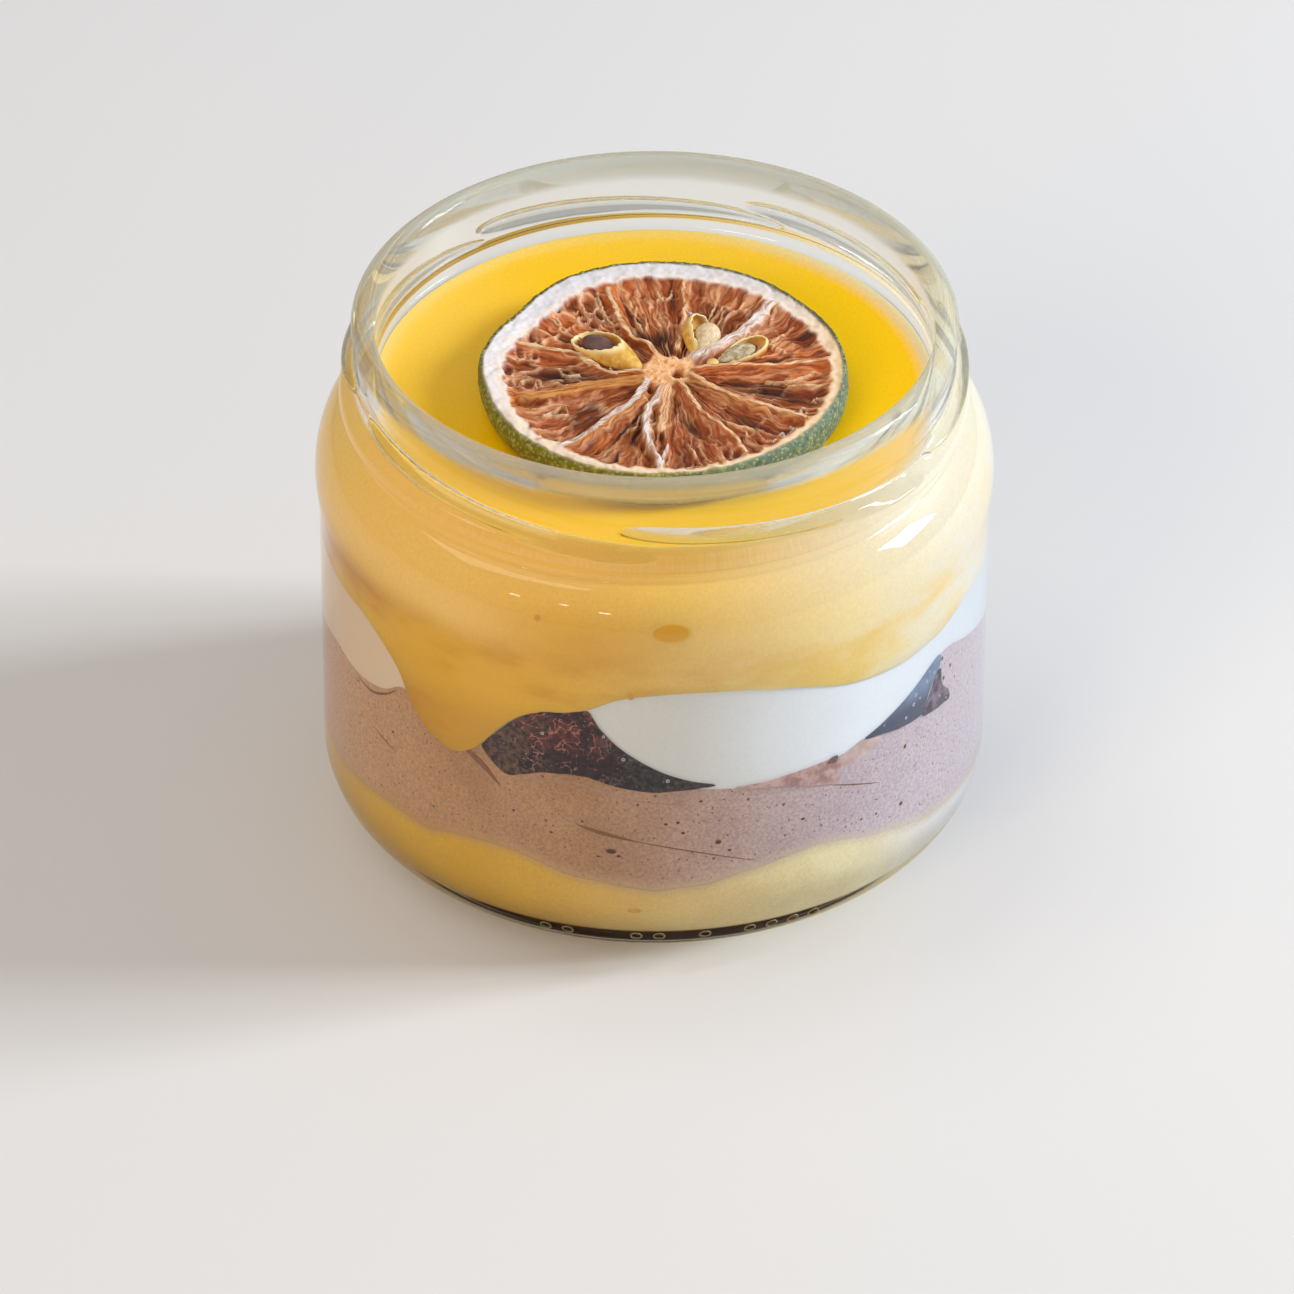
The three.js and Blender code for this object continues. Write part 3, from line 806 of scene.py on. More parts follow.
# Painted light where the slice's shadow falls, at the front left.
at_left = curd_finish.along("X", 8, -14)
deeper = curd_finish.maths("MULTIPLY", at_left, curd_finish.along("Y", -6, -20))
golden = curd_finish.mix(deeper, golden, seen(255, 192, 0))
golden = curd_finish.mix(lit_top_rim, golden, seen(228, 216, 192))
curd_finish.colour(curd_finish.grainy(curd_finish.mix(on_top, against_glass, golden), 0.05))
curd_finish.bump(curd_finish.noise(300, 2), 0.04 * MM, 0.3)
lemon_mousse = layer(
    "lemon_curd_layer", lemon_bottom, lambda r, angle: CURD_HEIGHT + 0 * r,
    proud=0.26, rows=70, finish=curd_finish, crown=curd_top,
)
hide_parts("lemon_mousse")

# ---- Dried lime slice --------------------------------------------------------------------------
# A thick round of dried lime lying on the curd: green rind, white pith that is thick as snow at
# the left, and brown flesh sunk between pale membranes, torn and curled at the front. It is one
# turned round, whose face is pressed into hollows and ridges and tinted point by point.

SLICE_X = 1.0
SLICE_Y = -1.4
SLICE_FACE = 66.5
SLICE_FOOT = 61.8
SLICE_TURNS = 720
SLICE_ROWS = 112
RIND_ROWS = 14
CORE_X = 2.4
CORE_Y = -3.2
RIND_THICKNESS = 0.45
RIND_BULGE = 0.35
RIM_ROUNDING = 0.3
EDGE_UNEVEN = 0.1
# The rind leans in towards its foot, and most at this angle.
UNDERCUT = 0.75
UNDERCUT_VARIES = 0.55
UNDERCUT_MOST = 200
# The pith is wider at the left and the back, uneven, and scalloped by the sacs.
PITH_WIDTH = 2.75
PITH_THICKER_LEFT = 0.6
PITH_THICKER_BACK = 1.1
PITH_UNEVEN = 0.35
PITH_SCALLOP = 0.4
# The flesh: how far its lines bend, its sacs counted round and out from the core, how deep it
# sinks, and its fibres counted round and out.
BEND = 0.22
SACS_ROUND = 46
SACS_OUT = 4.2
SACS_LONG = 0.45
FLESH_DEPTH = 0.75
HOLLOW_DEPTH = 0.5
FIBRES_ROUND = 38
FIBRES_OUT = 0.4

slice_edge = around([
    (5, 23.8), (39, 23.4), (63, 23.9), (84, 24.2), (119, 24.1), (136, 23.1), (147, 22.4),
    (158, 22.9), (176, 23.7), (195, 23.7), (215, 24.2), (236, 24.6), (253, 24.9), (272, 24.7),
    (303, 24.2), (343, 23.8),
])

WHITE = seen(242, 234, 232)
PALE = seen(246, 204, 160)
CREAM = seen(240, 212, 168)
BUFF = seen(214, 152, 84)
ORANGE = seen(196, 104, 34)
DARK = seen(52, 20, 6)

RUSSET = seen(195, 110, 56)
ROSE = seen(190, 122, 96)
AMBER = seen(178, 94, 42)
DUSKY = seen(170, 104, 86)
TAN = seen(174, 105, 66)
RUST = seen(164, 87, 54)
UMBER = seen(124, 61, 37)
PEACH = seen(232, 160, 100)
DRIED = (1.16, 0.92, 0.34)

# Patches of the flesh: where (mm), how wide, and the tone.
FLESH_TONES = [
    (-10, 10, 6, RUSSET), (-2, 11, 4, ROSE), (1.5, 12, 4, AMBER), (5, 14, 3.5, DUSKY),
    (10, 12, 5, TAN), (16, 8, 5, RUST), (18, 2, 5, RUSSET), (12, -3.5, 4, RUSSET),
    (14, -7, 4, UMBER), (13, -12, 5, RUSSET), (8, -17, 5, RUST), (3, -14, 3, DUSKY),
    (3.5, -20, 3.5, DUSKY), (-6, -18, 6, TAN), (-12, -14, 6, RUST), (-12, -3, 4, UMBER),
    (-16, 2, 4, RUSSET), (1, 5, 3, UMBER), (-18, -9.5, 2, PEACH),
]
# Sunk hollows, nearly black with painted shade: where, half sizes along and across, how far turned
# (degrees).
SHADED_HOLLOWS = [
    (-1.7, 5.8, 2.6, 1.0, -52), (-11.5, -2.9, 4.2, 0.9, -6), (-13.4, -6.6, 1.6, 0.7, 0),
    (14, -6, 5.0, 0.9, -18), (11.8, -13.3, 3.2, 0.8, -22), (5, -14.5, 2.4, 0.8, -62),
    (10.2, 5.4, 1.6, 0.5, 30), (0.8, 6.4, 1.4, 1.0, 60), (-12.8, -11.3, 1.9, 0.35, 0),
    (-2.8, -14.6, 1.4, 0.3, 50),
]
# Round sacs that have dried open, sunk and darker in the middle with painted shade: where, half
# width, half length, turned by, how dark and how deep.
OPEN_SACS = [
    (-12.6, 12.2, 0.75, 1.0, 0, 0.4), (-10.8, 13.1, 1.0, 1.4, 0, 0.4),
    (-8.5, 13.6, 1.0, 2.1, 12, 0.3), (-7.1, 11.4, 0.65, 1.4, 14, 0.9),
    (-7.9, 9.1, 0.8, 1.3, 10, 0.9), (-4.8, 8.2, 0.35, 0.5, 0, 1.0),
    (-16, 5.7, 0.65, 1.2, 0, 0.7), (-15.6, 1.6, 0.5, 1.1, 0, 1.0),
    (-17.5, 2.2, 0.6, 1.2, 20, 0.4), (-19.0, -2.0, 0.75, 1.2, 0, 0.4),
    (-5.9, 10.0, 0.5, 0.8, 0, 0.6), (-9.3, 10.2, 0.7, 0.7, 0, 0.5),
    (-16.4, -4.9, 1.0, 1.2, 10, 0.5), (-18.7, -4.9, 0.6, 1.1, 0, 0.3),
    (5.0, -24.0, 0.75, 0.5, 0, 0.9), (21.0, -8.5, 0.5, 0.6, 0, 0.9),
    (19.2, -10.8, 0.4, 0.7, 0, 0.8), (10.7, -20.7, 0.7, 1.0, 0, 1.0),
]
# Small torn holes: where, half width and half length.
TORN_HOLES = [(2.95, -2.75, 0.8, 1.1), (3.0, 2.0, 0.35, 0.45), (-0.6, -6.6, 0.5, 0.8)]
# Membranes: path, half width, skirt on the right hand and on the left, rise, line, skirt.
MEMBRANES = [
    ([(-17.5, 4.2), (-14.7, 3.1), (-10.3, 1.9), (-8, -0.4), (-5.9, -2.5), (-2.2, -1.9)],
     0.35, 2.6, 0.5, -0.1, CREAM, ORANGE),
    ([(-0.8, -3.9), (-6, -5.2), (-9.6, -6.0), (-14.5, -7.8), (-17, -8.1)],
     0.95, 0.7, 0.9, 0.0, BUFF, ORANGE),
    ([(22.7, 0.6), (19.9, -0.3), (14.9, -1.0), (10, -0.9), (5.2, -1.6)],
     0.3, 0.4, 2.6, 0.15, PALE, ORANGE),
    ([(4.6, -2.8), (8, -6.5), (11.6, -8.8), (14.9, -10.5), (19.3, -12.8)],
     0.32, 1.9, 0.5, 0.15, PALE, BUFF),
    ([(3.2, -4.6), (5.5, -10.6), (7.3, -13.2), (9.3, -15.5), (11.8, -20.7)],
     0.25, 1.8, 0.6, 0.1, CREAM, ORANGE),
    ([(1.6, -5.0), (0.2, -8.4), (-1, -12.4), (-0.7, -18.4), (0.3, -21.9), (0.9, -25)],
     0.42, 0.5, 0.5, 0.2, WHITE, PALE),
    ([(-0.8, -4.4), (-2.5, -8.9), (-4, -10.9), (-6.3, -13.6), (-7.9, -15.9), (-10, -17.9),
      (-12.4, -20.2)], 0.45, 0.5, 2.6, 0.15, WHITE, BUFF),
    ([(-6.3, 16.8), (-4.9, 10.9), (-3.1, 5.8), (-1.1, 4.3), (0.8, 0.6)],
     0.3, 0.8, 1.2, 0.0, CREAM, ORANGE),
    ([(4, 19), (3.6, 16.3), (4, 13.9), (3.8, 10.3), (3.0, 3.0)],
     0.24, 0.6, 0.8, 0.0, PALE, BUFF),
    ([(15.4, 14.4), (12.3, 8.0), (9.3, 4.4), (6.7, 2.3), (4, 0.2)],
     0.65, 0.5, 0.5, 0.3, WHITE, PALE),
    ([(1.6, -5.6), (1.4, -9), (1.2, -12), (0.9, -15.3)], 0.5, 0.9, 0.9, -0.35, PALE, BUFF),
]
# Finer strands and torn wisps: path, half width, rise, colour.
STRANDS = [
    ([(-10.3, 15), (-9.5, 13.2), (-8.8, 11.1)], 0.16, 0.0, PALE),
    ([(-7.6, 15.9), (-7.1, 13.8), (-6.3, 10.3), (-5.1, 8.5)], 0.16, 0.0, CREAM),
    ([(-2.4, 13.3), (-2.6, 10.3), (-1.6, 7.9)], 0.18, -0.1, PALE),
    ([(-1.4, 11.8), (-1.1, 7.9)], 0.16, -0.1, PALE),
    ([(-12.6, -1), (-11.3, -2.5), (-9.6, -2.5)], 0.14, -0.3, CREAM),
    ([(-10, 1.9), (-9.2, 0.2), (-8.3, -1)], 0.16, 0.0, CREAM),
    ([(-5.9, -1), (-4.9, -3)], 0.12, 0.1, CREAM),
    ([(0.4, 16.9), (1, 14.8), (1.9, 15.7), (2.4, 17.2)], 0.15, -0.2, CREAM),
    ([(4.2, 12.1), (5.2, 11.2), (5.9, 10.9)], 0.15, 0.0, WHITE),
    ([(9, 12.4), (8.5, 10.1), (7.9, 8.9)], 0.14, -0.2, PALE),
    ([(8, 14.5), (7.4, 11.8), (6.7, 9.7)], 0.14, -0.2, PALE),
    ([(14.3, 5), (15.5, 3.9), (16.8, 3)], 0.4, -0.1, PALE),
    ([(18, 8.3), (16.6, 6.8), (15, 5.3)], 0.2, -0.2, PALE),
    ([(-14.5, -11.9), (-13.2, -11.3), (-12, -10.1), (-10.9, -11.3)], 0.12, 0.0, CREAM),
    ([(-14.6, -11.9), (-12.7, -12), (-10.9, -11.8)], 0.12, -0.1, CREAM),
    ([(-1.4, -8.3), (-0.7, -10.1), (-1.9, -12.4), (-2.5, -15), (-3.5, -15.7)], 0.16, 0.1, CREAM),
    ([(-19.3, -16.5), (-17.7, -16), (-16.9, -14.5)], 0.18, 0.0, CREAM),
    ([(-14.4, -19.7), (-12.5, -18.8), (-10.2, -17.6)], 0.2, 0.0, CREAM),
    ([(-15.4, -18.5), (-13.8, -17.9), (-11.8, -16.8)], 0.15, -0.1, BUFF),
    ([(-17.4, -4.6), (-16.6, -4), (-15.2, -4.3), (-14.6, -4.9)], 0.15, 0.0, CREAM),
    ([(5.7, -10.9), (7.6, -12.3), (9.9, -13.8), (12.5, -14.9), (14.1, -17.2), (16.4, -17.5)],
     0.2, -0.1, PALE),
    ([(14.2, -4.1), (16.6, -4.1), (18.9, -3.2), (20.5, -2.3)], 0.18, -0.1, CREAM),
    ([(17.4, -5.3), (19.8, -4.7), (21.6, -5.3)], 0.2, -0.1, CREAM),
    ([(4.3, -18.4), (5.2, -20.7), (6.1, -23.6)], 0.16, 0.0, PALE),
    ([(5.7, -18.4), (6.6, -21.3), (7.9, -23.5)], 0.16, 0.0, PALE),
    ([(1.7, -18.7), (1.2, -21), (1.1, -23.6)], 0.2, 0.1, WHITE),
    ([(9.6, -22.7), (10.9, -22.1), (11.4, -21.2)], 0.22, 0.2, WHITE),
    ([(15, -18.1), (16.3, -16), (16.6, -17.2), (17.4, -16.6)], 0.16, 0.1, WHITE),
    ([(17.4, -14.6), (17.8, -15.4), (17.1, -16.3)], 0.16, 0.1, WHITE),
    ([(18.6, -10.5), (18.8, -11.7), (19.4, -12.3)], 0.16, 0.1, WHITE),
    ([(-1.5, -16.7), (-2, -19.6), (-1, -21.9)], 0.2, -0.1, ORANGE),
    ([(-13.3, 10.8), (-12.4, 9), (-12.5, 6.6), (-13.7, 5.5)], 0.22, 0.0, PALE),
]


def chance(i, j, seed):
    """A fixed random number from 0 to 1 for each pair of whole numbers."""
    return scrambled(
        (i.astype(np.int64) * 73856093) ^ (j.astype(np.int64) * 19349663) ^ (seed * 7919)
    )


def sacs(a, b, count, wide, long):
    """The nearest and second nearest of scattered middles, and the nearest one's random tone."""
    first = np.full(a.shape, 99.0)
    second = first.copy()
    tone = np.zeros_like(a)
    for i in (-1, 0, 1):
        for j in (-1, 0, 1):
            column, row = np.floor(a) + i, np.floor(b) + j
            turn = column % count
            across = (column + 0.15 + 0.7 * chance(turn, row, 1) - a) * wide
            out = (row + 0.15 + 0.7 * chance(turn, row, 2) - b) * long
            distance = np.hypot(across, out)
            nearer = distance < first
            second = np.where(nearer, first, np.minimum(second, distance))
            tone = np.where(nearer, chance(turn, row, 3), tone)
            first = np.minimum(first, distance)
    return first, second, tone


def rounded(path, parts=6):
    """A path through points, with its corners rounded."""
    points = [np.array(p, float) for p in path]
    points = [2 * points[0] - points[1], *points, 2 * points[-1] - points[-2]]
    line = []
    for a, b, c, d in zip(points, points[1:], points[2:], points[3:]):
        for i in range(parts):
            t = i / parts
            line.append(0.5 * (2 * b + (c - a) * t + (2 * a - 5 * b + 4 * c - d) * t * t
                               + (3 * b - a - 3 * c + d) * t ** 3))
    return line + [points[-2]]


def beside(path, x, y):
    """How far each point is from a path, on its right hand (+) or left, and how far along."""
    line = rounded(path)
    nearest = np.full(x.shape, 99.0)
    side = np.ones_like(x)
    along = np.zeros_like(x)
    for i, (a, b) in enumerate(zip(line, line[1:])):
        step = b - a
        t = np.clip(((x - a[0]) * step[0] + (y - a[1]) * step[1]) / (step @ step), 0, 1)
        across, up = x - a[0] - t * step[0], y - a[1] - t * step[1]
        distance = np.hypot(across, up)
        nearer = distance < nearest
        side = np.where(nearer, np.sign(step[1] * (x - a[0]) - step[0] * (y - a[1])), side)
        along = np.where(nearer, (i + t) / (len(line) - 1), along)
        nearest = np.minimum(nearest, distance)
    return nearest, side, along


def turned_by(x, y, place_x, place_y, degrees):
    """Points as seen from a place on the face, along and across a turned direction."""
    turn = math.radians(degrees)
    right, up = x - place_x, y - place_y
    along = right * math.cos(turn) + up * math.sin(turn)
    across = up * math.cos(turn) - right * math.sin(turn)
    return along, across


def blend(tint, colour, weight):
    """Tints drawn towards a colour, each by its own weight."""
    return tint + (np.array(colour) - tint) * weight[:, None]


slice_profile = (
    [(FULL * i / SLICE_ROWS, FULL) for i in range(SLICE_ROWS + 1)]
    + [(FULL, FULL - FULL * i / RIND_ROWS) for i in range(1, RIND_ROWS)]
    + [(FULL, 0), (9, 0), (5, 0), (0, 0)]
)
# Each point's own tint, darker between the fibres of the flesh, which is painted shade in their
# grooves, with pale glands in the rind.
lime_finish = Finish("dried_lime", Subsurface_Weight=0.12, Subsurface_Scale=0.0012,
                     Subsurface_Radius=(1.0, 0.5, 0.3), Specular_IOR_Level=0.3)
fibres = lime_finish.noise(1.0, 3, 0.6, lime_finish.attribute("fibre", "Vector"))
in_flesh = lime_finish.attribute("flesh")
on_rind = lime_finish.attribute("rind")
roughness = lime_finish.step(in_flesh, 0, 1, 0.66, 0.5)
lime_finish.feed(lime_finish.shader.inputs["Roughness"], roughness)
tint = lime_finish.attribute("tint", "Color")
shade = lime_finish.step(fibres, 0.32, 0.66)
darker = lime_finish.mix(1.0, tint, seen(184, 142, 108), "MULTIPLY")
fibrous = lime_finish.mix(shade, darker, tint)
tint = lime_finish.mix(in_flesh, tint, fibrous)
glands = lime_finish.node("ShaderNodeTexVoronoi", Vector=lime_finish.place, Scale=1700.0)
gland = lime_finish.step(glands.outputs["Distance"], 0.15, 0.5, 1.0, 0.0)
gland = lime_finish.maths("MULTIPLY", on_rind, gland)
specks = lime_finish.mix(1.0, tint, seen(255, 250, 190), "SCREEN")
lime_finish.colour(lime_finish.mix(gland, tint, lime_finish.mix(0.22, tint, specks)))
grain = lime_finish.maths("MULTIPLY", lime_finish.noise(1600, 3, 0.6), 0.5)
ridges = lime_finish.maths("ADD", lime_finish.maths("MULTIPLY", fibres, in_flesh), grain)
lime_finish.bump(lime_finish.maths("ADD", ridges, gland), 0.1 * MM, 0.7)

lime = new_object("dried_lime_slice", turned(slice_profile, SLICE_TURNS), lime_finish)
x, y, z = spots(lime)
share = np.hypot(x, y) / FULL
face = z > FULL - 0.001
bottom = z < 0.001
down = 1 - z / FULL
turn = np.degrees(np.arctan2(y, x))
cos_turn, sin_turn = np.cos(np.radians(turn)), np.sin(np.radians(turn))
edge = slice_edge(turn) + EDGE_UNEVEN * hills(cos_turn * 9, sin_turn * 9, 0.5, 21, 2)
lean = UNDERCUT + UNDERCUT_VARIES * np.cos(np.radians(turn - UNDERCUT_MOST))
radius = share * (edge + np.where(face, 0, RIND_BULGE * np.sin(np.pi * down) - lean * down ** 2))
x = SLICE_X + radius * cos_turn
y = SLICE_Y + radius * sin_turn

# Where each point of the face lies: from the core outwards, and in from the edge. The directions
# are bent a little, so that nothing in the flesh runs quite straight.
bend_x = x + BEND * hills(x / 1.3, y / 1.3, 0.5, 31, 2)
bend_y = y + BEND * hills(x / 1.3, y / 1.3, 7.5, 32, 2)
out = np.hypot(bend_x - CORE_X, bend_y - CORE_Y)
heading = np.degrees(np.arctan2(bend_y - CORE_Y, bend_x - CORE_X))
inset = edge - radius
from_core = out / (out + inset + 1e-6)
warp = 0.35 * hills(x / 2.5, y / 2.5, 0.5, 41, 2)
column = (heading + 5 * warp) / 360 * SACS_ROUND
pith_width = PITH_WIDTH - PITH_THICKER_LEFT * cos_turn + PITH_THICKER_BACK * sin_turn
pith_width = pith_width + PITH_UNEVEN * hills(cos_turn * 7, sin_turn * 7, 0.5, 33, 3)
pith_width = pith_width - PITH_SCALLOP * np.abs(np.sin(np.pi * column))
flesh = smooth(inset, pith_width - 0.15, pith_width + 0.35)

# The flesh: patches of colour, the juice sacs with their pale walls, and grooves between fibres,
# darkened partly by the flesh's own tone and partly by painted shade in the sunk grooves.
weights = np.full(len(x), 0.1)
tints = np.tile(0.1 * np.array(seen(158, 92, 60)), (len(x), 1))
for tone_x, tone_y, wide, colour in FLESH_TONES:
    weight = np.exp(-((bend_x - tone_x) ** 2 + (bend_y - tone_y) ** 2) / wide ** 2)
    tints += weight[:, None] * np.array(colour)
    weights += weight
tints = tints / weights[:, None] * np.array(DRIED)

first, second, tone = sacs(
    column, from_core * SACS_OUT + 0.6 * warp, SACS_ROUND, out * 2 * np.pi / SACS_ROUND,
    (out + inset) / SACS_OUT * SACS_LONG,
)
roundish = smooth(-x - 0.4 * y, 2, 12) * smooth(y, -8, 0)
wall = (1 - smooth(second - first, 0.05, 0.5)) * smooth(from_core, 0.25, 0.6)
wall *= np.clip(0.45 + 0.6 * hills(x / 3, y / 3, 0.5, 43) + 0.5 * roundish, 0, 1)
groove = hills(heading * 0.5 + 2 * warp, out * 0.15, 0.5, 44, 3)
# Partly painted shade: darker where the grooves sink.
tints = blend(tints, DARK, np.clip(0.42 - tone + np.clip(-groove, 0, 1), 0, 0.9))
tints = blend(tints, PALE, np.clip(0.75 * np.clip(groove, 0, 1) + 0.5 * (tone - 0.6), 0, 0.7))
tints = blend(tints, PALE, 0.85 * wall)
sunk = smooth(inset, pith_width - 0.4, pith_width + 2.2)
relief = (-FLESH_DEPTH - 0.25 * tone + 0.26 * groove) * sunk + 0.45 * wall

for spot_x, spot_y, long, wide, degrees in SHADED_HOLLOWS:
    right, up = turned_by(bend_x, bend_y, spot_x, spot_y, degrees)
    weight = np.exp(-(right / long) ** 2 - (up / wide) ** 2)
    tints = blend(tints, DARK, 0.85 * weight)
    relief -= HOLLOW_DEPTH * weight
for spot_x, spot_y, wide, long, degrees, dark in OPEN_SACS:
    right, up = turned_by(bend_x, bend_y, spot_x, spot_y, degrees)
    ring = np.hypot(right / wide, up / long)
    inside = 1 - smooth(ring, 0.6, 1.0)
    lip = np.exp(-((ring - 1.08) * min(wide, long) / 0.14) ** 2)
    tints = blend(tints, seen(172, 100, 54), inside)
    tints = blend(tints, DARK, 0.75 * dark * (1 - smooth(ring, 0.1, 0.85)))
    tints = blend(tints, seen(242, 200, 166), 0.85 * lip)
    relief = relief * (1 - inside) - (FLESH_DEPTH + 0.4 * dark) * inside
    relief = np.maximum(relief, -0.35 - 1.2 * (1 - lip))
streaky = np.clip(0.8 + 0.5 * groove, 0, 1)
for path, width, skirt_right, skirt_left, rise, line_colour, skirt_colour in MEMBRANES:
    distance, side, along = beside(path, bend_x, bend_y)
    skirt = np.where(side > 0, skirt_right, skirt_left) * (1 - 0.35 * along)
    fall = smooth(distance, width * 0.7, width + skirt)
    raised = np.maximum(relief, rise + (relief - rise) * fall)
    relief = np.where(distance < width + skirt, raised, relief)
    weight = 0.8 * streaky * (1 - smooth(distance, width, width + 0.9 * skirt))
    tints = blend(tints, skirt_colour, weight)
    tints = blend(tints, line_colour, 1 - smooth(distance, width * 0.7, width * 1.35))
for path, width, rise, colour in STRANDS:
    distance = beside(path, bend_x, bend_y)[0]
    weight = 1 - smooth(distance, width * 0.4, width * 1.3)
    tints = blend(tints, colour, 0.85 * weight)
    relief = np.maximum(relief, rise - 0.3 - 1.1 * (1 - weight))

# The spongy core, star-shaped, and three small holes where it and the membranes have torn.
starry = hills(np.cos(np.radians(heading)) * 2.2, np.sin(np.radians(heading)) * 2.2, 0.5, 53, 2)
core = np.hypot(bend_x - CORE_X + 0.7, (bend_y - CORE_Y - 1.3) / 1.15)
core = 1 - smooth(core - 0.7 * starry, 2.6, 3.8)
spongy = hills(x / 0.45, y / 0.45, 0.5, 51, 2)
tints = blend(tints, seen(240, 188, 138), core)
tints = blend(tints, seen(212, 138, 70), core * np.clip(-1.4 * spongy, 0, 1))
tints = blend(tints, PALE, core * np.clip(0.7 * spongy, 0, 1))
relief = relief * (1 - core) + (-0.15 + 0.12 * spongy) * core
for spot_x, spot_y, wide, long in TORN_HOLES:
    hole = 1 - smooth(np.hypot((x - spot_x) / wide, (y - spot_y) / long), 0.75, 1.15)
    tints = blend(tints, seen(150, 78, 22), hole)
    relief = relief * (1 - hole) - 1.1 * hole

# The pith: white and thick at the left and the back, creamy and thin at the right, with painted
# shade in the low parts of its crumbly folds.
snow = 0.5 + 0.5 * np.clip(-cos_turn * 0.8 + 0.7 * sin_turn, -1, 1)
creamy, snowy = np.array(seen(227, 189, 132)), np.array(seen(234, 231, 235))
pith = creamy + snow[:, None] * (snowy - creamy)
pith = blend(pith, seen(210, 208, 213), 0.7 * smooth(sin_turn, 0.3, 0.9))
crumb = hills(x / 0.5, y / 0.5, 0.5, 61, 2)
folds = hills(x / 1.1, y / 1.1, 0.5, 63, 2)
# Painted shade where the pith's relief is low.
pith = blend(pith, seen(208, 196, 190), np.clip(-0.3 * crumb - 0.25 * folds, 0, 0.4) * snow)
pith = blend(pith, seen(190, 146, 96), np.clip(0.9 * folds, 0, 0.6) * (1 - snow))
inner_line = np.exp(-((inset - pith_width + 0.45) / 0.3) ** 2)
pith = blend(pith, seen(244, 222, 202), 0.7 * inner_line)
pith_relief = 0.05 * crumb + 0.14 * folds + 0.16 * hills(x / 1.8, y / 1.8, 0.5, 62) + 0.2 * snow
tints = blend(pith, tints, flesh)
relief = pith_relief * (1 - flesh) + relief * flesh
near_rim = smooth(inset, 0.6, 1.0) * (1 - flesh)
for path, width, rise, colour in STRANDS:
    distance = beside(path, x, y)[0]
    tints = blend(tints, colour, near_rim * (1 - smooth(distance, width * 0.6, width * 1.8)))

# The rind: olive at the front left and bluer to the right, which is painted cool window light, and
# pitted with pale and dark glands.
front = smooth(-sin_turn, -0.35, 0.3)
rind_tint = np.tile(np.array(seen(118, 112, 20)), (len(x), 1))
rind_tint = blend(rind_tint, seen(96, 118, 100), smooth(cos_turn, -0.1, 0.55))
rind_tint = blend(rind_tint, seen(70, 72, 34), 0.75 * (1 - front))
pock = hills(x / 0.42, y / 0.42, z * 0.33 / 0.42, 71)
rind_tint = blend(rind_tint, seen(190, 188, 96), np.clip(pock - 0.25, 0, 1) * 0.7)
rind_tint = blend(rind_tint, seen(48, 50, 16), np.clip(-pock - 0.1, 0, 1) * 0.6)
rind = np.where(face, 1 - smooth(inset, 0.7 * RIND_THICKNESS, 1.2 * RIND_THICKNESS), 1.0)
tints = blend(tints, rind_tint, 1 - (1 - rind) ** 2)
rim_drop = RIM_ROUNDING * front * (1 - inset / RIND_THICKNESS).clip(0, 1)
rim_drop = rim_drop - (1 - front) * (0.2 + 0.12 * pock)
relief = np.where(face, relief * (1 - rind) - rim_drop * rind, 0)

side_height = SLICE_FACE - RIM_ROUNDING
side_height = side_height + (SLICE_FOOT - side_height) * down
height = np.where(face, SLICE_FACE + relief, np.where(bottom, SLICE_FOOT, side_height))
bulge = np.where(face | bottom, 0, 0.09 * pock)
move(lime, x + bulge * cos_turn, y + bulge * sin_turn, height)
mark(lime, "tint", np.column_stack((tints, np.ones(len(x)))))
mark(lime, "flesh", flesh * (1 - rind) * (1 - 0.8 * core))
mark(lime, "rind", rind)
fibre_heading = np.radians(heading + 6 * warp)
mark(lime, "fibre", np.column_stack((
    FIBRES_ROUND * np.cos(fibre_heading), FIBRES_ROUND * np.sin(fibre_heading), FIBRES_OUT * out
)))
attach(lime, "root")
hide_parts("lime_slice")

# ---- Seeds -------------------------------------------------------------------------------------
# The three seeds in the slice: dry husks that have split open along the top, with the kernel
# shrunk inside, and a yellow chip of a fourth. A husk is half a drop-shaped body with a thin
# wall and a ragged mouth, and the kernels are smaller bodies of the same shape. The kernel in the
# left husk is dark, which is painted shade for the inside of the husk.

HUSK_WALL = 0.22
HUSK_RAGGED = 0.16

husk_finish = Finish("seed_husk", Roughness=0.5, Subsurface_Weight=0.2, Subsurface_Scale=0.001)
streak = husk_finish.noise(900, 3, 0.6)
outer_husk = husk_finish.step(streak, 0.35, 0.65)
outer_husk = husk_finish.mix(outer_husk, seen(206, 150, 52), seen(232, 186, 92))
husk_finish.colour(husk_finish.mix(husk_finish.attribute("tone"), outer_husk, seen(244, 220, 160)))
husk_finish.bump(streak, 0.06 * MM, 0.6)
kernel_in_shade_finish = mottled("seed_inside_shade", seen(58, 28, 20), seen(126, 92, 84), 800, Roughness=0.6)


def dry_kernel(name, hollows, skin):
    """A dried, chalky kernel's gritty finish, darker in the hollows of the grit: painted shade."""
    made = mottled(name, hollows, skin, 1400, 3, 0.7, reach=(0.35, 0.7), Roughness=0.55,
                   Subsurface_Weight=0.2, Subsurface_Scale=0.001)
    made.bump(made.noise(1400, 3, 0.7), 0.08 * MM, 0.7)
    return made


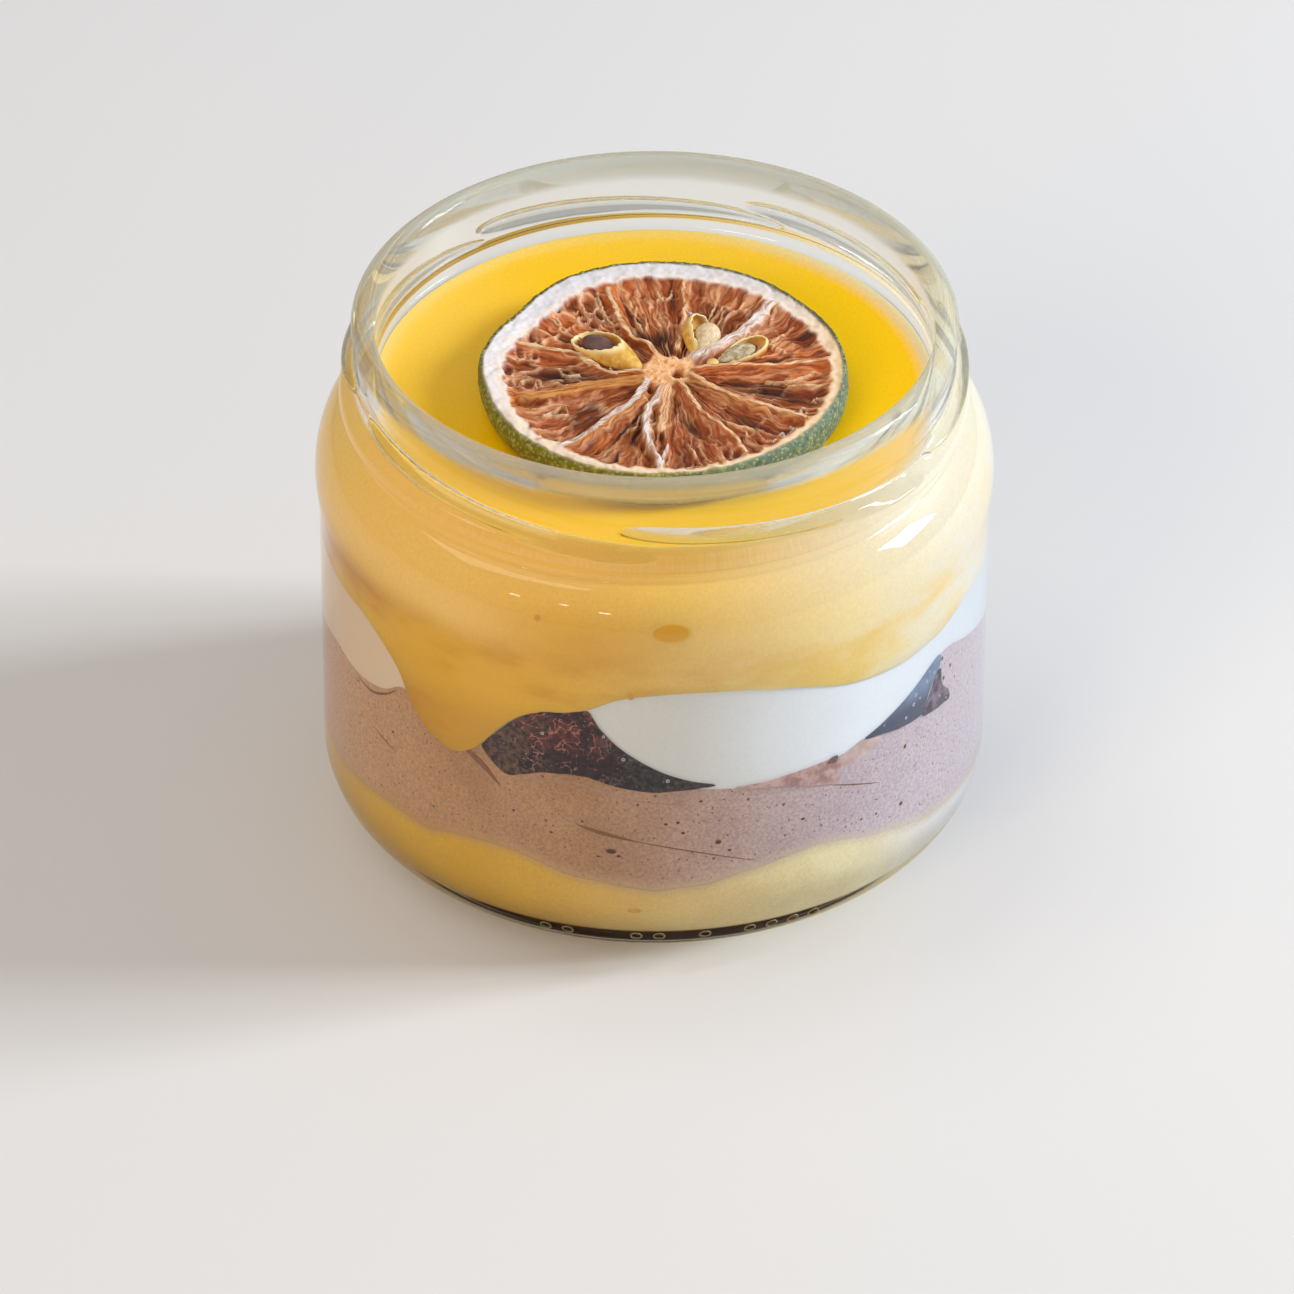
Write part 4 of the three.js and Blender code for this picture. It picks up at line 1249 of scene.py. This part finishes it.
def seed_body(head, tail, wide, deep, height, tilt):
    """A drop-shaped body from its round head to its pointed tail, as a bmesh, and its middle."""
    bm = bmesh.new()
    bmesh.ops.create_uvsphere(bm, u_segments=56, v_segments=36, radius=1)
    length = math.dist(head, tail) / 2
    heading = math.atan2(tail[1] - head[1], tail[0] - head[0])
    middle = Vector(((head[0] + tail[0]) / 2, (head[1] + tail[1]) / 2, height))
    spin = Matrix.Rotation(heading, 3, "Z") @ Matrix.Rotation(math.radians(tilt), 3, "Y")
    for vert in bm.verts:
        along = vert.co.x
        taper = 1 - 0.38 * along - 0.22 * along * along
        local = Vector((along * length, vert.co.y * wide * taper, vert.co.z * deep * taper))
        vert.co = (middle + spin @ local) * MM
    return bm, middle


def husk(name, head, tail, wide, deep, height, tilt, mouth, cut):
    """An open husk: the body is cut by a plane that faces the mouth and given a thin wall."""
    bm, middle = seed_body(head, tail, wide, deep, height, tilt)
    facing = Vector(mouth).normalized()
    place = (middle + facing * cut) * MM
    bmesh.ops.bisect_plane(
        bm, geom=bm.verts[:] + bm.edges[:] + bm.faces[:], plane_co=place, plane_no=facing,
        clear_outer=True,
    )
    bmesh.ops.recalc_face_normals(bm, faces=bm.faces)
    rim = {v for e in bm.edges if e.is_boundary for v in e.verts}
    for vert in rim:
        ragged = math.sin(vert.co.x / MM * 5.1) * math.sin(vert.co.y / MM * 4.3)
        vert.co += facing * HUSK_RAGGED * MM * ragged
    bmesh.ops.solidify(bm, geom=bm.faces[:], thickness=HUSK_WALL * MM)
    made = new_object(name, bm, husk_finish)
    above_cut = (np.column_stack(spots(made)) - np.array(place) / MM) @ np.array(facing)
    mark(made, "tone", smooth(above_cut, -0.7, -0.05))
    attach(made, "root")
    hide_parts("lime_slice")


def kernel(name, head, tail, wide, deep, height, tilt, finish):
    """A dried kernel, or a chip of husk, as a closed body."""
    made = new_object(name, seed_body(head, tail, wide, deep, height, tilt)[0], finish)
    if finish is husk_finish:
        mark(made, "tone", np.full(len(made.data.vertices), 0.3))
    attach(made, "root")
    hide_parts("lime_slice")


husk("seed_left", (-10.6, 6.2), (-1.2, -1.6), wide=2.7, deep=1.8, height=66.2, tilt=6,
     mouth=(-0.14, 0.16, 1.0), cut=1.2)
# Painted shade: this dark kernel fills the left husk's mouth.
kernel("seed_left_inside", (-9.2, 5.3), (-4.2, 1.3), wide=1.6, deep=0.8, height=66.2, tilt=4,
       finish=kernel_in_shade_finish)
husk("seed_back", (6.6, 9.4), (5.0, 2.0), wide=2.3, deep=1.9, height=66.5, tilt=10,
     mouth=(0.75, -0.1, 0.8), cut=0.5)
kernel("seed_back_kernel", (7.4, 7.2), (6.0, 2.4), wide=1.6, deep=1.5, height=66.7, tilt=4,
       finish=dry_kernel("pale_seed_kernel", seen(204, 178, 130), seen(232, 214, 184)))
husk("seed_right", (14.6, 5.0), (7.8, -0.2), wide=1.75, deep=1.4, height=66.1, tilt=4,
     mouth=(-0.1, -0.1, 1.0), cut=0.35)
kernel("seed_right_kernel", (12.9, 3.6), (8.2, 0.2), wide=1.35, deep=0.75, height=66.2, tilt=2,
       finish=dry_kernel("seed_kernel", seen(150, 130, 90), seen(212, 200, 172)))
kernel("seed_chip", (7.9, 0.5), (6.9, -1.3), wide=0.75, deep=0.5, height=66.2, tilt=0,
       finish=husk_finish)

# ---- Dark berries ------------------------------------------------------------------------------
# Dark berries pressed against the glass between the mousse and the cream, flat in front and
# round behind. Their skin is crinkled and mottled where the juice has dried: grey at the left,
# red-brown in the middle with pale squiggles, and nearly black in the tail.

PRESSED_TURNS = 144
PRESSED_ROWS = 30
BACK_ROWS = 8
CORNER_PARTS = 12
BERRY_DEPTH = 9
BERRY_PROUD = 0.34
# How deep the skin's crinkles are, how wide (degrees round the jar) and how high.
CRINKLE = 0.15
CRINKLE_WIDTH = 1.6
CRINKLE_HEIGHT = 1.2
BERRY_CREASE = 60


def pressed(name, outline, depth, proud, finish, node, relief=0.0):
    """A lump pressed against the glass, from its outline there as [angle, height] points. Its
    flat front is turned at z = 1 and its round back below z = 0."""
    ring = rounded([*outline, outline[0], outline[1]], CORNER_PARTS)
    ring = np.array(ring[: CORNER_PARTS * len(outline)])
    middle = ring.mean(axis=0)
    front = [(FULL * i / PRESSED_ROWS, 1) for i in range(PRESSED_ROWS + 1)]
    back = [(FULL * math.cos(t), -math.sin(t)) for t in np.linspace(0.1, math.pi / 2, BACK_ROWS)]
    made = new_object(name, turned(front + back, PRESSED_TURNS), finish)
    x, y, z = spots(made)
    share = np.hypot(x, y) / FULL
    place = (np.degrees(np.arctan2(x, -y)) % 360) / 360 * len(ring)
    first = np.floor(place).astype(int) % len(ring)
    part = (place - np.floor(place))[:, None]
    rim = ring[first] * (1 - part) + ring[(first + 1) % len(ring)] * part
    angle, height = (middle + (rim - middle) * share[:, None]).T
    lumps = hills(angle / CRINKLE_WIDTH, height / CRINKLE_HEIGHT, 0.5, 81, 3)
    sunk = np.where(z > 0.99, relief * np.clip(0.5 + lumps, 0, 1), -z * depth)
    x, y = on_ring(inner_radius(height) + proud - sunk, angle)
    move(made, x, y, height)
    made.data.set_sharp_from_angle(angle=math.radians(BERRY_CREASE))
    mark(made, "share", share)
    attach(made, "root")
    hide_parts(node)


# Three parts from left to right, then the squiggles, speckles and dots of dried juice.
berry_finish = Finish("dark_berry", Roughness=0.5, Specular_IOR_Level=0.1)
mottle = berry_finish.patches(0.38, 0.62, 1300, 4, 0.75)
blotch = berry_finish.patches(0.42, 0.58, 420, 3, 0.6)
grey = berry_finish.mix(mottle, seen(36, 18, 14), seen(104, 72, 56))
high = berry_finish.along("Z", 32, 36)
high = berry_finish.maths("MULTIPLY", high, blotch)
deep = berry_finish.mix(high, seen(12, 1, 3), seen(58, 13, 12))
lit = berry_finish.mix(high, seen(54, 22, 22), seen(120, 54, 44))
heart = berry_finish.mix(mottle, deep, lit)
tail = berry_finish.mix(mottle, seen(10, 4, 6), seen(82, 70, 70))
tail = berry_finish.mix(blotch, berry_finish.mix(0.5, tail, seen(10, 4, 6)), tail)
uneven = berry_finish.step(blotch, 0, 1, -2 * MM, 2 * MM)
along = berry_finish.maths("ADD", berry_finish.axis("X"), uneven)
berry = berry_finish.mix(berry_finish.step(along, -16.5 * MM, -14 * MM), grey, heart)
berry = berry_finish.mix(berry_finish.step(along, -6 * MM, -2.5 * MM), berry, tail)
wave = berry_finish.noise(640, 1.5, 0.6)
contour = berry_finish.maths("ABSOLUTE", berry_finish.maths("SUBTRACT", wave, 0.52))
squiggle = berry_finish.step(contour, 0.012, 0.03, 1.0, 0.0)
before_tail = berry_finish.step(along, -5 * MM, -2 * MM, 1.0, 0.1)
for share in (berry_finish.step(along, -17 * MM, -14 * MM), before_tail, blotch):
    squiggle = berry_finish.maths("MULTIPLY", squiggle, share)
berry = berry_finish.mix(berry_finish.maths("MULTIPLY", squiggle, 0.7), berry, seen(186, 124, 110))
speckle = berry_finish.pores(1700, 0.22, 0.4)
berry = berry_finish.mix(speckle, berry_finish.mix(0.35, berry, seen(190, 176, 178)), berry)
dots = berry_finish.pores(1000, 0.12, 0.05)
berry_finish.colour(berry_finish.mix(dots, seen(196, 184, 182), berry))
berry_finish.bump(berry_finish.maths("ADD", mottle, squiggle), 0.12 * MM, 0.7)

for node, outline in (
    ("berry_front", [
        (-31.3, 31.4), (-29.5, 33.2), (-25, 36.9), (-20.5, 39.1), (-16, 39.8), (-13, 40.3),
        (-11.2, 40.4), (-9.5, 38.2), (-6.5, 35.6), (-3.2, 33.6), (1.6, 31.4), (6.5, 29.9),
        (10.8, 29.0), (8, 28.7), (4, 28.5), (0, 28.3), (-6.4, 29), (-10, 29.8), (-13, 30.2),
        (-19, 29.8), (-23, 28.8), (-26, 28), (-28.6, 29),
    ]),
    ("berry_side", [
        (105, 31), (108, 34.6), (114, 37), (121, 37.6), (127, 36), (130, 32.4), (126, 29.4),
        (117, 28.2), (109, 28.6),
    ]),
    ("berry_back", [
        (194, 33), (199, 37), (206, 39.2), (213, 38.6), (219, 35.4), (224, 31.4), (218, 29),
        (209, 29.8), (200, 30),
    ]),
):
    pressed(f"{node}_skin", outline, BERRY_DEPTH, BERRY_PROUD, berry_finish, node,
            CRINKLE)

# ---- Blue berry --------------------------------------------------------------------------------
# The right berry shows its smooth blue skin with a dull bloom, pressed flat on the glass. It is
# torn at its right end, where the wet purple inside stands a hair further out.

blue_finish = Finish("blue_berry_skin", Roughness=0.4, Specular_IOR_Level=0.15)
bloom = blue_finish.patches(0.35, 0.7, 300, 3)
lower = blue_finish.along("Z", 30, 33.5)
blue = blue_finish.mix(lower, seen(62, 68, 92), seen(116, 136, 170))
blue = blue_finish.mix(bloom, blue_finish.mix(0.45, blue, seen(54, 58, 78)), blue)
blue_finish.colour(blue_finish.mix(blue_finish.pores(800, 0.13, 0.25), seen(176, 184, 200), blue))
blue_finish.bump(blue_finish.noise(900, 3), 0.05 * MM, 0.6)
pressed("berry_right_skin", [
    (39.7, 30.0), (44.6, 31.2), (51.4, 33.2), (57, 35.1), (59.6, 35.4), (59.6, 34), (58.1, 32.7),
    (56.4, 31.2), (55.1, 29.5), (54.0, 28.3), (48.2, 28.6), (44, 29.3),
], 7, BERRY_PROUD, blue_finish, "berry_right")
purple_finish = mottled("berry_inside", seen(42, 26, 44), seen(118, 100, 122), 600, 3,
                        reach=(0.4, 0.65), Roughness=0.35, Specular_IOR_Level=0.15)
purple_finish.bump(purple_finish.noise(700, 3), 0.1 * MM, 0.8)
pressed("berry_right_inside", [
    (58.8, 33.2), (59.9, 33.0), (60.2, 31.2), (60.8, 29.9), (62.9, 28.3), (63.1, 26.9), (61, 27),
    (58.3, 27.2), (54.4, 27.9), (55.4, 29.3), (57, 31.1),
], 6, BERRY_PROUD + 0.03, purple_finish, "berry_right", 0.1)

# ---- Pink scrap --------------------------------------------------------------------------------
# A pink scrap of soaked fruit under the cream, with a paler smear where it has been dragged to
# the right and a dark fleck at its top. All three are thin and lie against the glass.

pink_finish = mottled("pink_berry", seen(158, 118, 114), seen(198, 166, 162), 600, 3, 0.65,
                      reach=(0.35, 0.65), Roughness=0.5, Specular_IOR_Level=0.15)
pink_finish.bump(pink_finish.noise(900, 3), 0.08 * MM, 0.6)
pressed("pink_scrap", [
    (14.4, 28.2), (20, 28.3), (25, 28.6), (29, 28.8), (33.6, 28.9), (34.7, 27.6), (34.2, 26.4),
    (33.8, 25.0), (29.3, 25.6), (25, 26.7), (19, 27.5),
], 4, 0.32, pink_finish, "berry_pink")
smear_finish = mottled("pink_smear", seen(184, 152, 148), seen(206, 182, 180), 500, 3,
                       reach=(0.35, 0.7), Roughness=0.5)
pressed("pink_smear_piece", [
    (34.3, 28.6), (37.2, 29.5), (39.7, 30), (43.6, 29), (41.4, 27.7), (38, 27.1), (35, 27.2),
], 1.5, 0.20, smear_finish, "berry_pink")
fleck_finish = mottled("dark_fleck", seen(84, 52, 50), seen(128, 92, 88), 1500, Roughness=0.5)
pressed("pink_scrap_fleck", [
    (31.6, 28.6), (32.6, 29.2), (33.8, 29.2), (33.5, 28.3), (32.6, 28.3),
], 0.5, 0.38, fleck_finish, "berry_pink")

# ---- Oval and flecks in the yellow layers ------------------------------------------------------
# A deep yellow oval in the curd, paler at its rim, and small flecks of peel in the curd and the
# lemon cream. Each is a thin piece just inside the glass.

MARK_PROUD = 0.34


def rimmed(name, inner, rim, low, high, **sockets):
    """The finish of a pressed piece that turns paler between two shares of its radius."""
    made = Finish(name, **sockets)
    made.colour(made.mix(made.step(made.attribute("share"), low, high), inner, rim))
    return made


def oval(angle, height, wide, tall):
    """An oval outline round a spot on the glass, its half sizes in millimetres."""
    return [
        (angle + math.degrees(wide / WALL_INNER) * math.cos(t), height + tall * math.sin(t))
        for t in np.linspace(0, 2 * math.pi, 11)[:-1]
    ]


oval_finish = rimmed("curd_oval", seen(226, 160, 28), seen(236, 190, 90), 0.72, 0.95,
                     Roughness=0.25, Subsurface_Weight=0.2, Subsurface_Scale=0.002)
pressed("curd_oval_mark", oval(3, 52.8, 2.8, 1.25), 0.6, MARK_PROUD, oval_finish,
        "lemon_mousse")
deep_finish = mottled("curd_fleck", seen(196, 128, 30), seen(222, 164, 70), 900, Roughness=0.35)
pressed("curd_fleck_left", oval(-20.6, 53.2, 0.38, 0.34), 0.4, MARK_PROUD, deep_finish,
        "lemon_mousse")
pressed("curd_fleck_edge", oval(-4, 43.5, 0.4, 0.5), 0.3, MARK_PROUD, deep_finish,
        "lemon_mousse")
pressed("base_fleck", oval(-3.3, 8.8, 0.9, 0.45), 0.3, 0.26, deep_finish,
        "lemon_base")

# ---- Slits and folds in the mousse -------------------------------------------------------------
# Where the spoon has dragged, the mousse has torn in slits, dark with painted shade, or folded in
# paler creases. Each is a thin spindle laid along its line, half sunk in the mousse's face.

SLIT_PROUD = 0.18
SLIT_DEPTH = 0.3
SLIT_ROWS = 40
SLIT_SIDES = 12

slit_finish = mottled("mousse_slit", seen(104, 64, 40), seen(146, 98, 68), 700, 3,
                      Roughness=0.6, Specular_IOR_Level=0.12)
crease_finish = mottled("mousse_crease", seen(150, 116, 102), seen(178, 148, 140), 700, 3,
                        Roughness=0.6, Specular_IOR_Level=0.12)


def slit(name, path, wide, finish):
    """A long thin mark along a path of [angle, height] points, pointed at both ends."""
    shares = [i / SLIT_ROWS for i in range(SLIT_ROWS + 1)]
    spindle = [(math.sin(math.pi * share) ** 0.7, FULL * share) for share in shares]
    made = new_object(name, turned(spindle, SLIT_SIDES), finish)
    x, y, z = spots(made)
    line = np.array(rounded(path, 8))
    steps = np.linspace(0, FULL, len(line))
    angle = np.interp(z, steps, line[:, 0])
    height = np.interp(z, steps, line[:, 1]) + wide * x
    x, y = on_ring(inner_radius(height) + SLIT_PROUD + SLIT_DEPTH * np.minimum(y, 0), angle)
    move(made, x, y, height)
    bm = bmesh.new()
    bm.from_mesh(made.data)
    bmesh.ops.recalc_face_normals(bm, faces=bm.faces)
    bm.to_mesh(made.data)
    bm.free()
    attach(made, "root")
    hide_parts("berry_mousse")


slit("slit_front", [(-13.4, 22.3), (-9.5, 21.5), (-2.5, 20.3)], 0.3, slit_finish)
slit("slit_front_end", [(-5, 20.75), (2.9, 19.4), (9, 18.2), (18.5, 15.9)], 0.1, slit_finish)
slit("slit_over", [(-17.5, 23.2), (-11, 23.5), (-6, 23.0)], 0.07, crease_finish)
slit("slit_under_drip", [
    (-36.5, 30.6), (-33, 29.2), (-30.2, 27.8), (-27.4, 25.7),
], 0.6, slit_finish)
slit("slit_left_edge", [(-64, 30), (-58.5, 29.8), (-54, 31.3), (-50.5, 33.4)], 0.22, slit_finish)
slit("slit_left", [(-58, 24.4), (-54.6, 23.7), (-51, 23.1)], 0.11, slit_finish)
slit("slit_left_low", [(-46.8, 19.5), (-42.1, 17.9), (-35, 17.1)], 0.08, crease_finish)
slit("fold_right", [(32.5, 24.8), (36.6, 23.6), (43.5, 21.6)], 0.09, slit_finish)
slit("fold_under_berry", [
    (-27.9, 26.9), (-20.4, 28.3), (-14, 28.9), (-7.8, 27.7), (-1.7, 26.7), (6, 26.2),
], 0.1, crease_finish)
slit("slit_back", [(170, 24), (177, 22.6), (184, 21.5)], 0.16, slit_finish)

# ---- Air holes in the mousse -------------------------------------------------------------------
# Holes of caught air that opened against the glass: small ovals, dark inside with painted shade
# and with a paler rim, a few large ones and many that are tiny.

HOLE_DEPTH = 0.4
HOLE_PROUD = 0.2

hole_finish = rimmed("mousse_hole", seen(74, 42, 30), seen(150, 110, 84), 0.7, 0.95,
                     Roughness=0.6, Specular_IOR_Level=0.12)
for i, (angle, height, wide, tall) in enumerate([
    (-7.3, 18.6, 0.75, 0.42), (-6.0, 17.9, 0.3, 0.2), (2.2, 23.2, 0.26, 0.2),
    (4.3, 23.4, 0.26, 0.2), (5.2, 21.7, 0.24, 0.2), (11.4, 19.8, 0.42, 0.35),
    (13.4, 18.3, 0.22, 0.2), (8.3, 26.6, 0.24, 0.18), (48.8, 16.1, 0.34, 0.3),
    (49.6, 25.0, 0.26, 0.34), (-12.4, 22.9, 0.22, 0.16), (-9.6, 17.6, 0.3, 0.12),
    (-18, 20.4, 0.24, 0.16), (-25, 22.5, 0.22, 0.18), (-52, 26, 0.26, 0.2),
    (27, 20.8, 0.26, 0.2), (61, 31, 0.25, 0.35), (60.4, 34.4, 0.25, 0.3),
    (63.4, 31.9, 0.25, 0.3), (110, 22, 0.5, 0.3), (200, 20, 0.5, 0.3),
]):
    pressed(f"mousse_hole_{i}", oval(angle, height, wide, tall), HOLE_DEPTH, HOLE_PROUD,
            hole_finish, "berry_mousse")

# ---- Air bubbles on the berries ----------------------------------------------------------------
# Tiny air bubbles caught between the berries and the glass, each dark with a bright edge, which is
# a painted reflection. They differ a little in size and are a touch taller than wide.

BUBBLE_SIZE = 0.17
BUBBLE_VARIES = 0.05
BUBBLE_STRETCH = 1.15
BUBBLE_DEPTH = 0.25
BUBBLE_PROUD = 0.4

bubble_finish = rimmed("air_bubble", seen(70, 74, 96), seen(206, 208, 222), 0.45, 0.8,
                       Roughness=0.2)
for i, (angle, height) in enumerate([
    (57.6, 33.4), (55.4, 33), (52.2, 32.2), (51.6, 30.9), (49.6, 29.6), (59.6, 28.8), (56.2, 34.2),
    (62, 27.4), (53.4, 31.2), (-8.6, 36.9), (-5.2, 33.5), (2.5, 30.2), (-19.5, 36),
]):
    size = BUBBLE_SIZE + BUBBLE_VARIES * math.sin(7 * i)
    node = "berry_right" if angle > 30 else "berry_front"
    outline = oval(angle, height, size, size * BUBBLE_STRETCH)
    pressed(f"bubble_{i}", outline, BUBBLE_DEPTH, BUBBLE_PROUD, bubble_finish, node)

# ---- Size --------------------------------------------------------------------------------------
# The box round all that is shown, without the floor.
low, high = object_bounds()
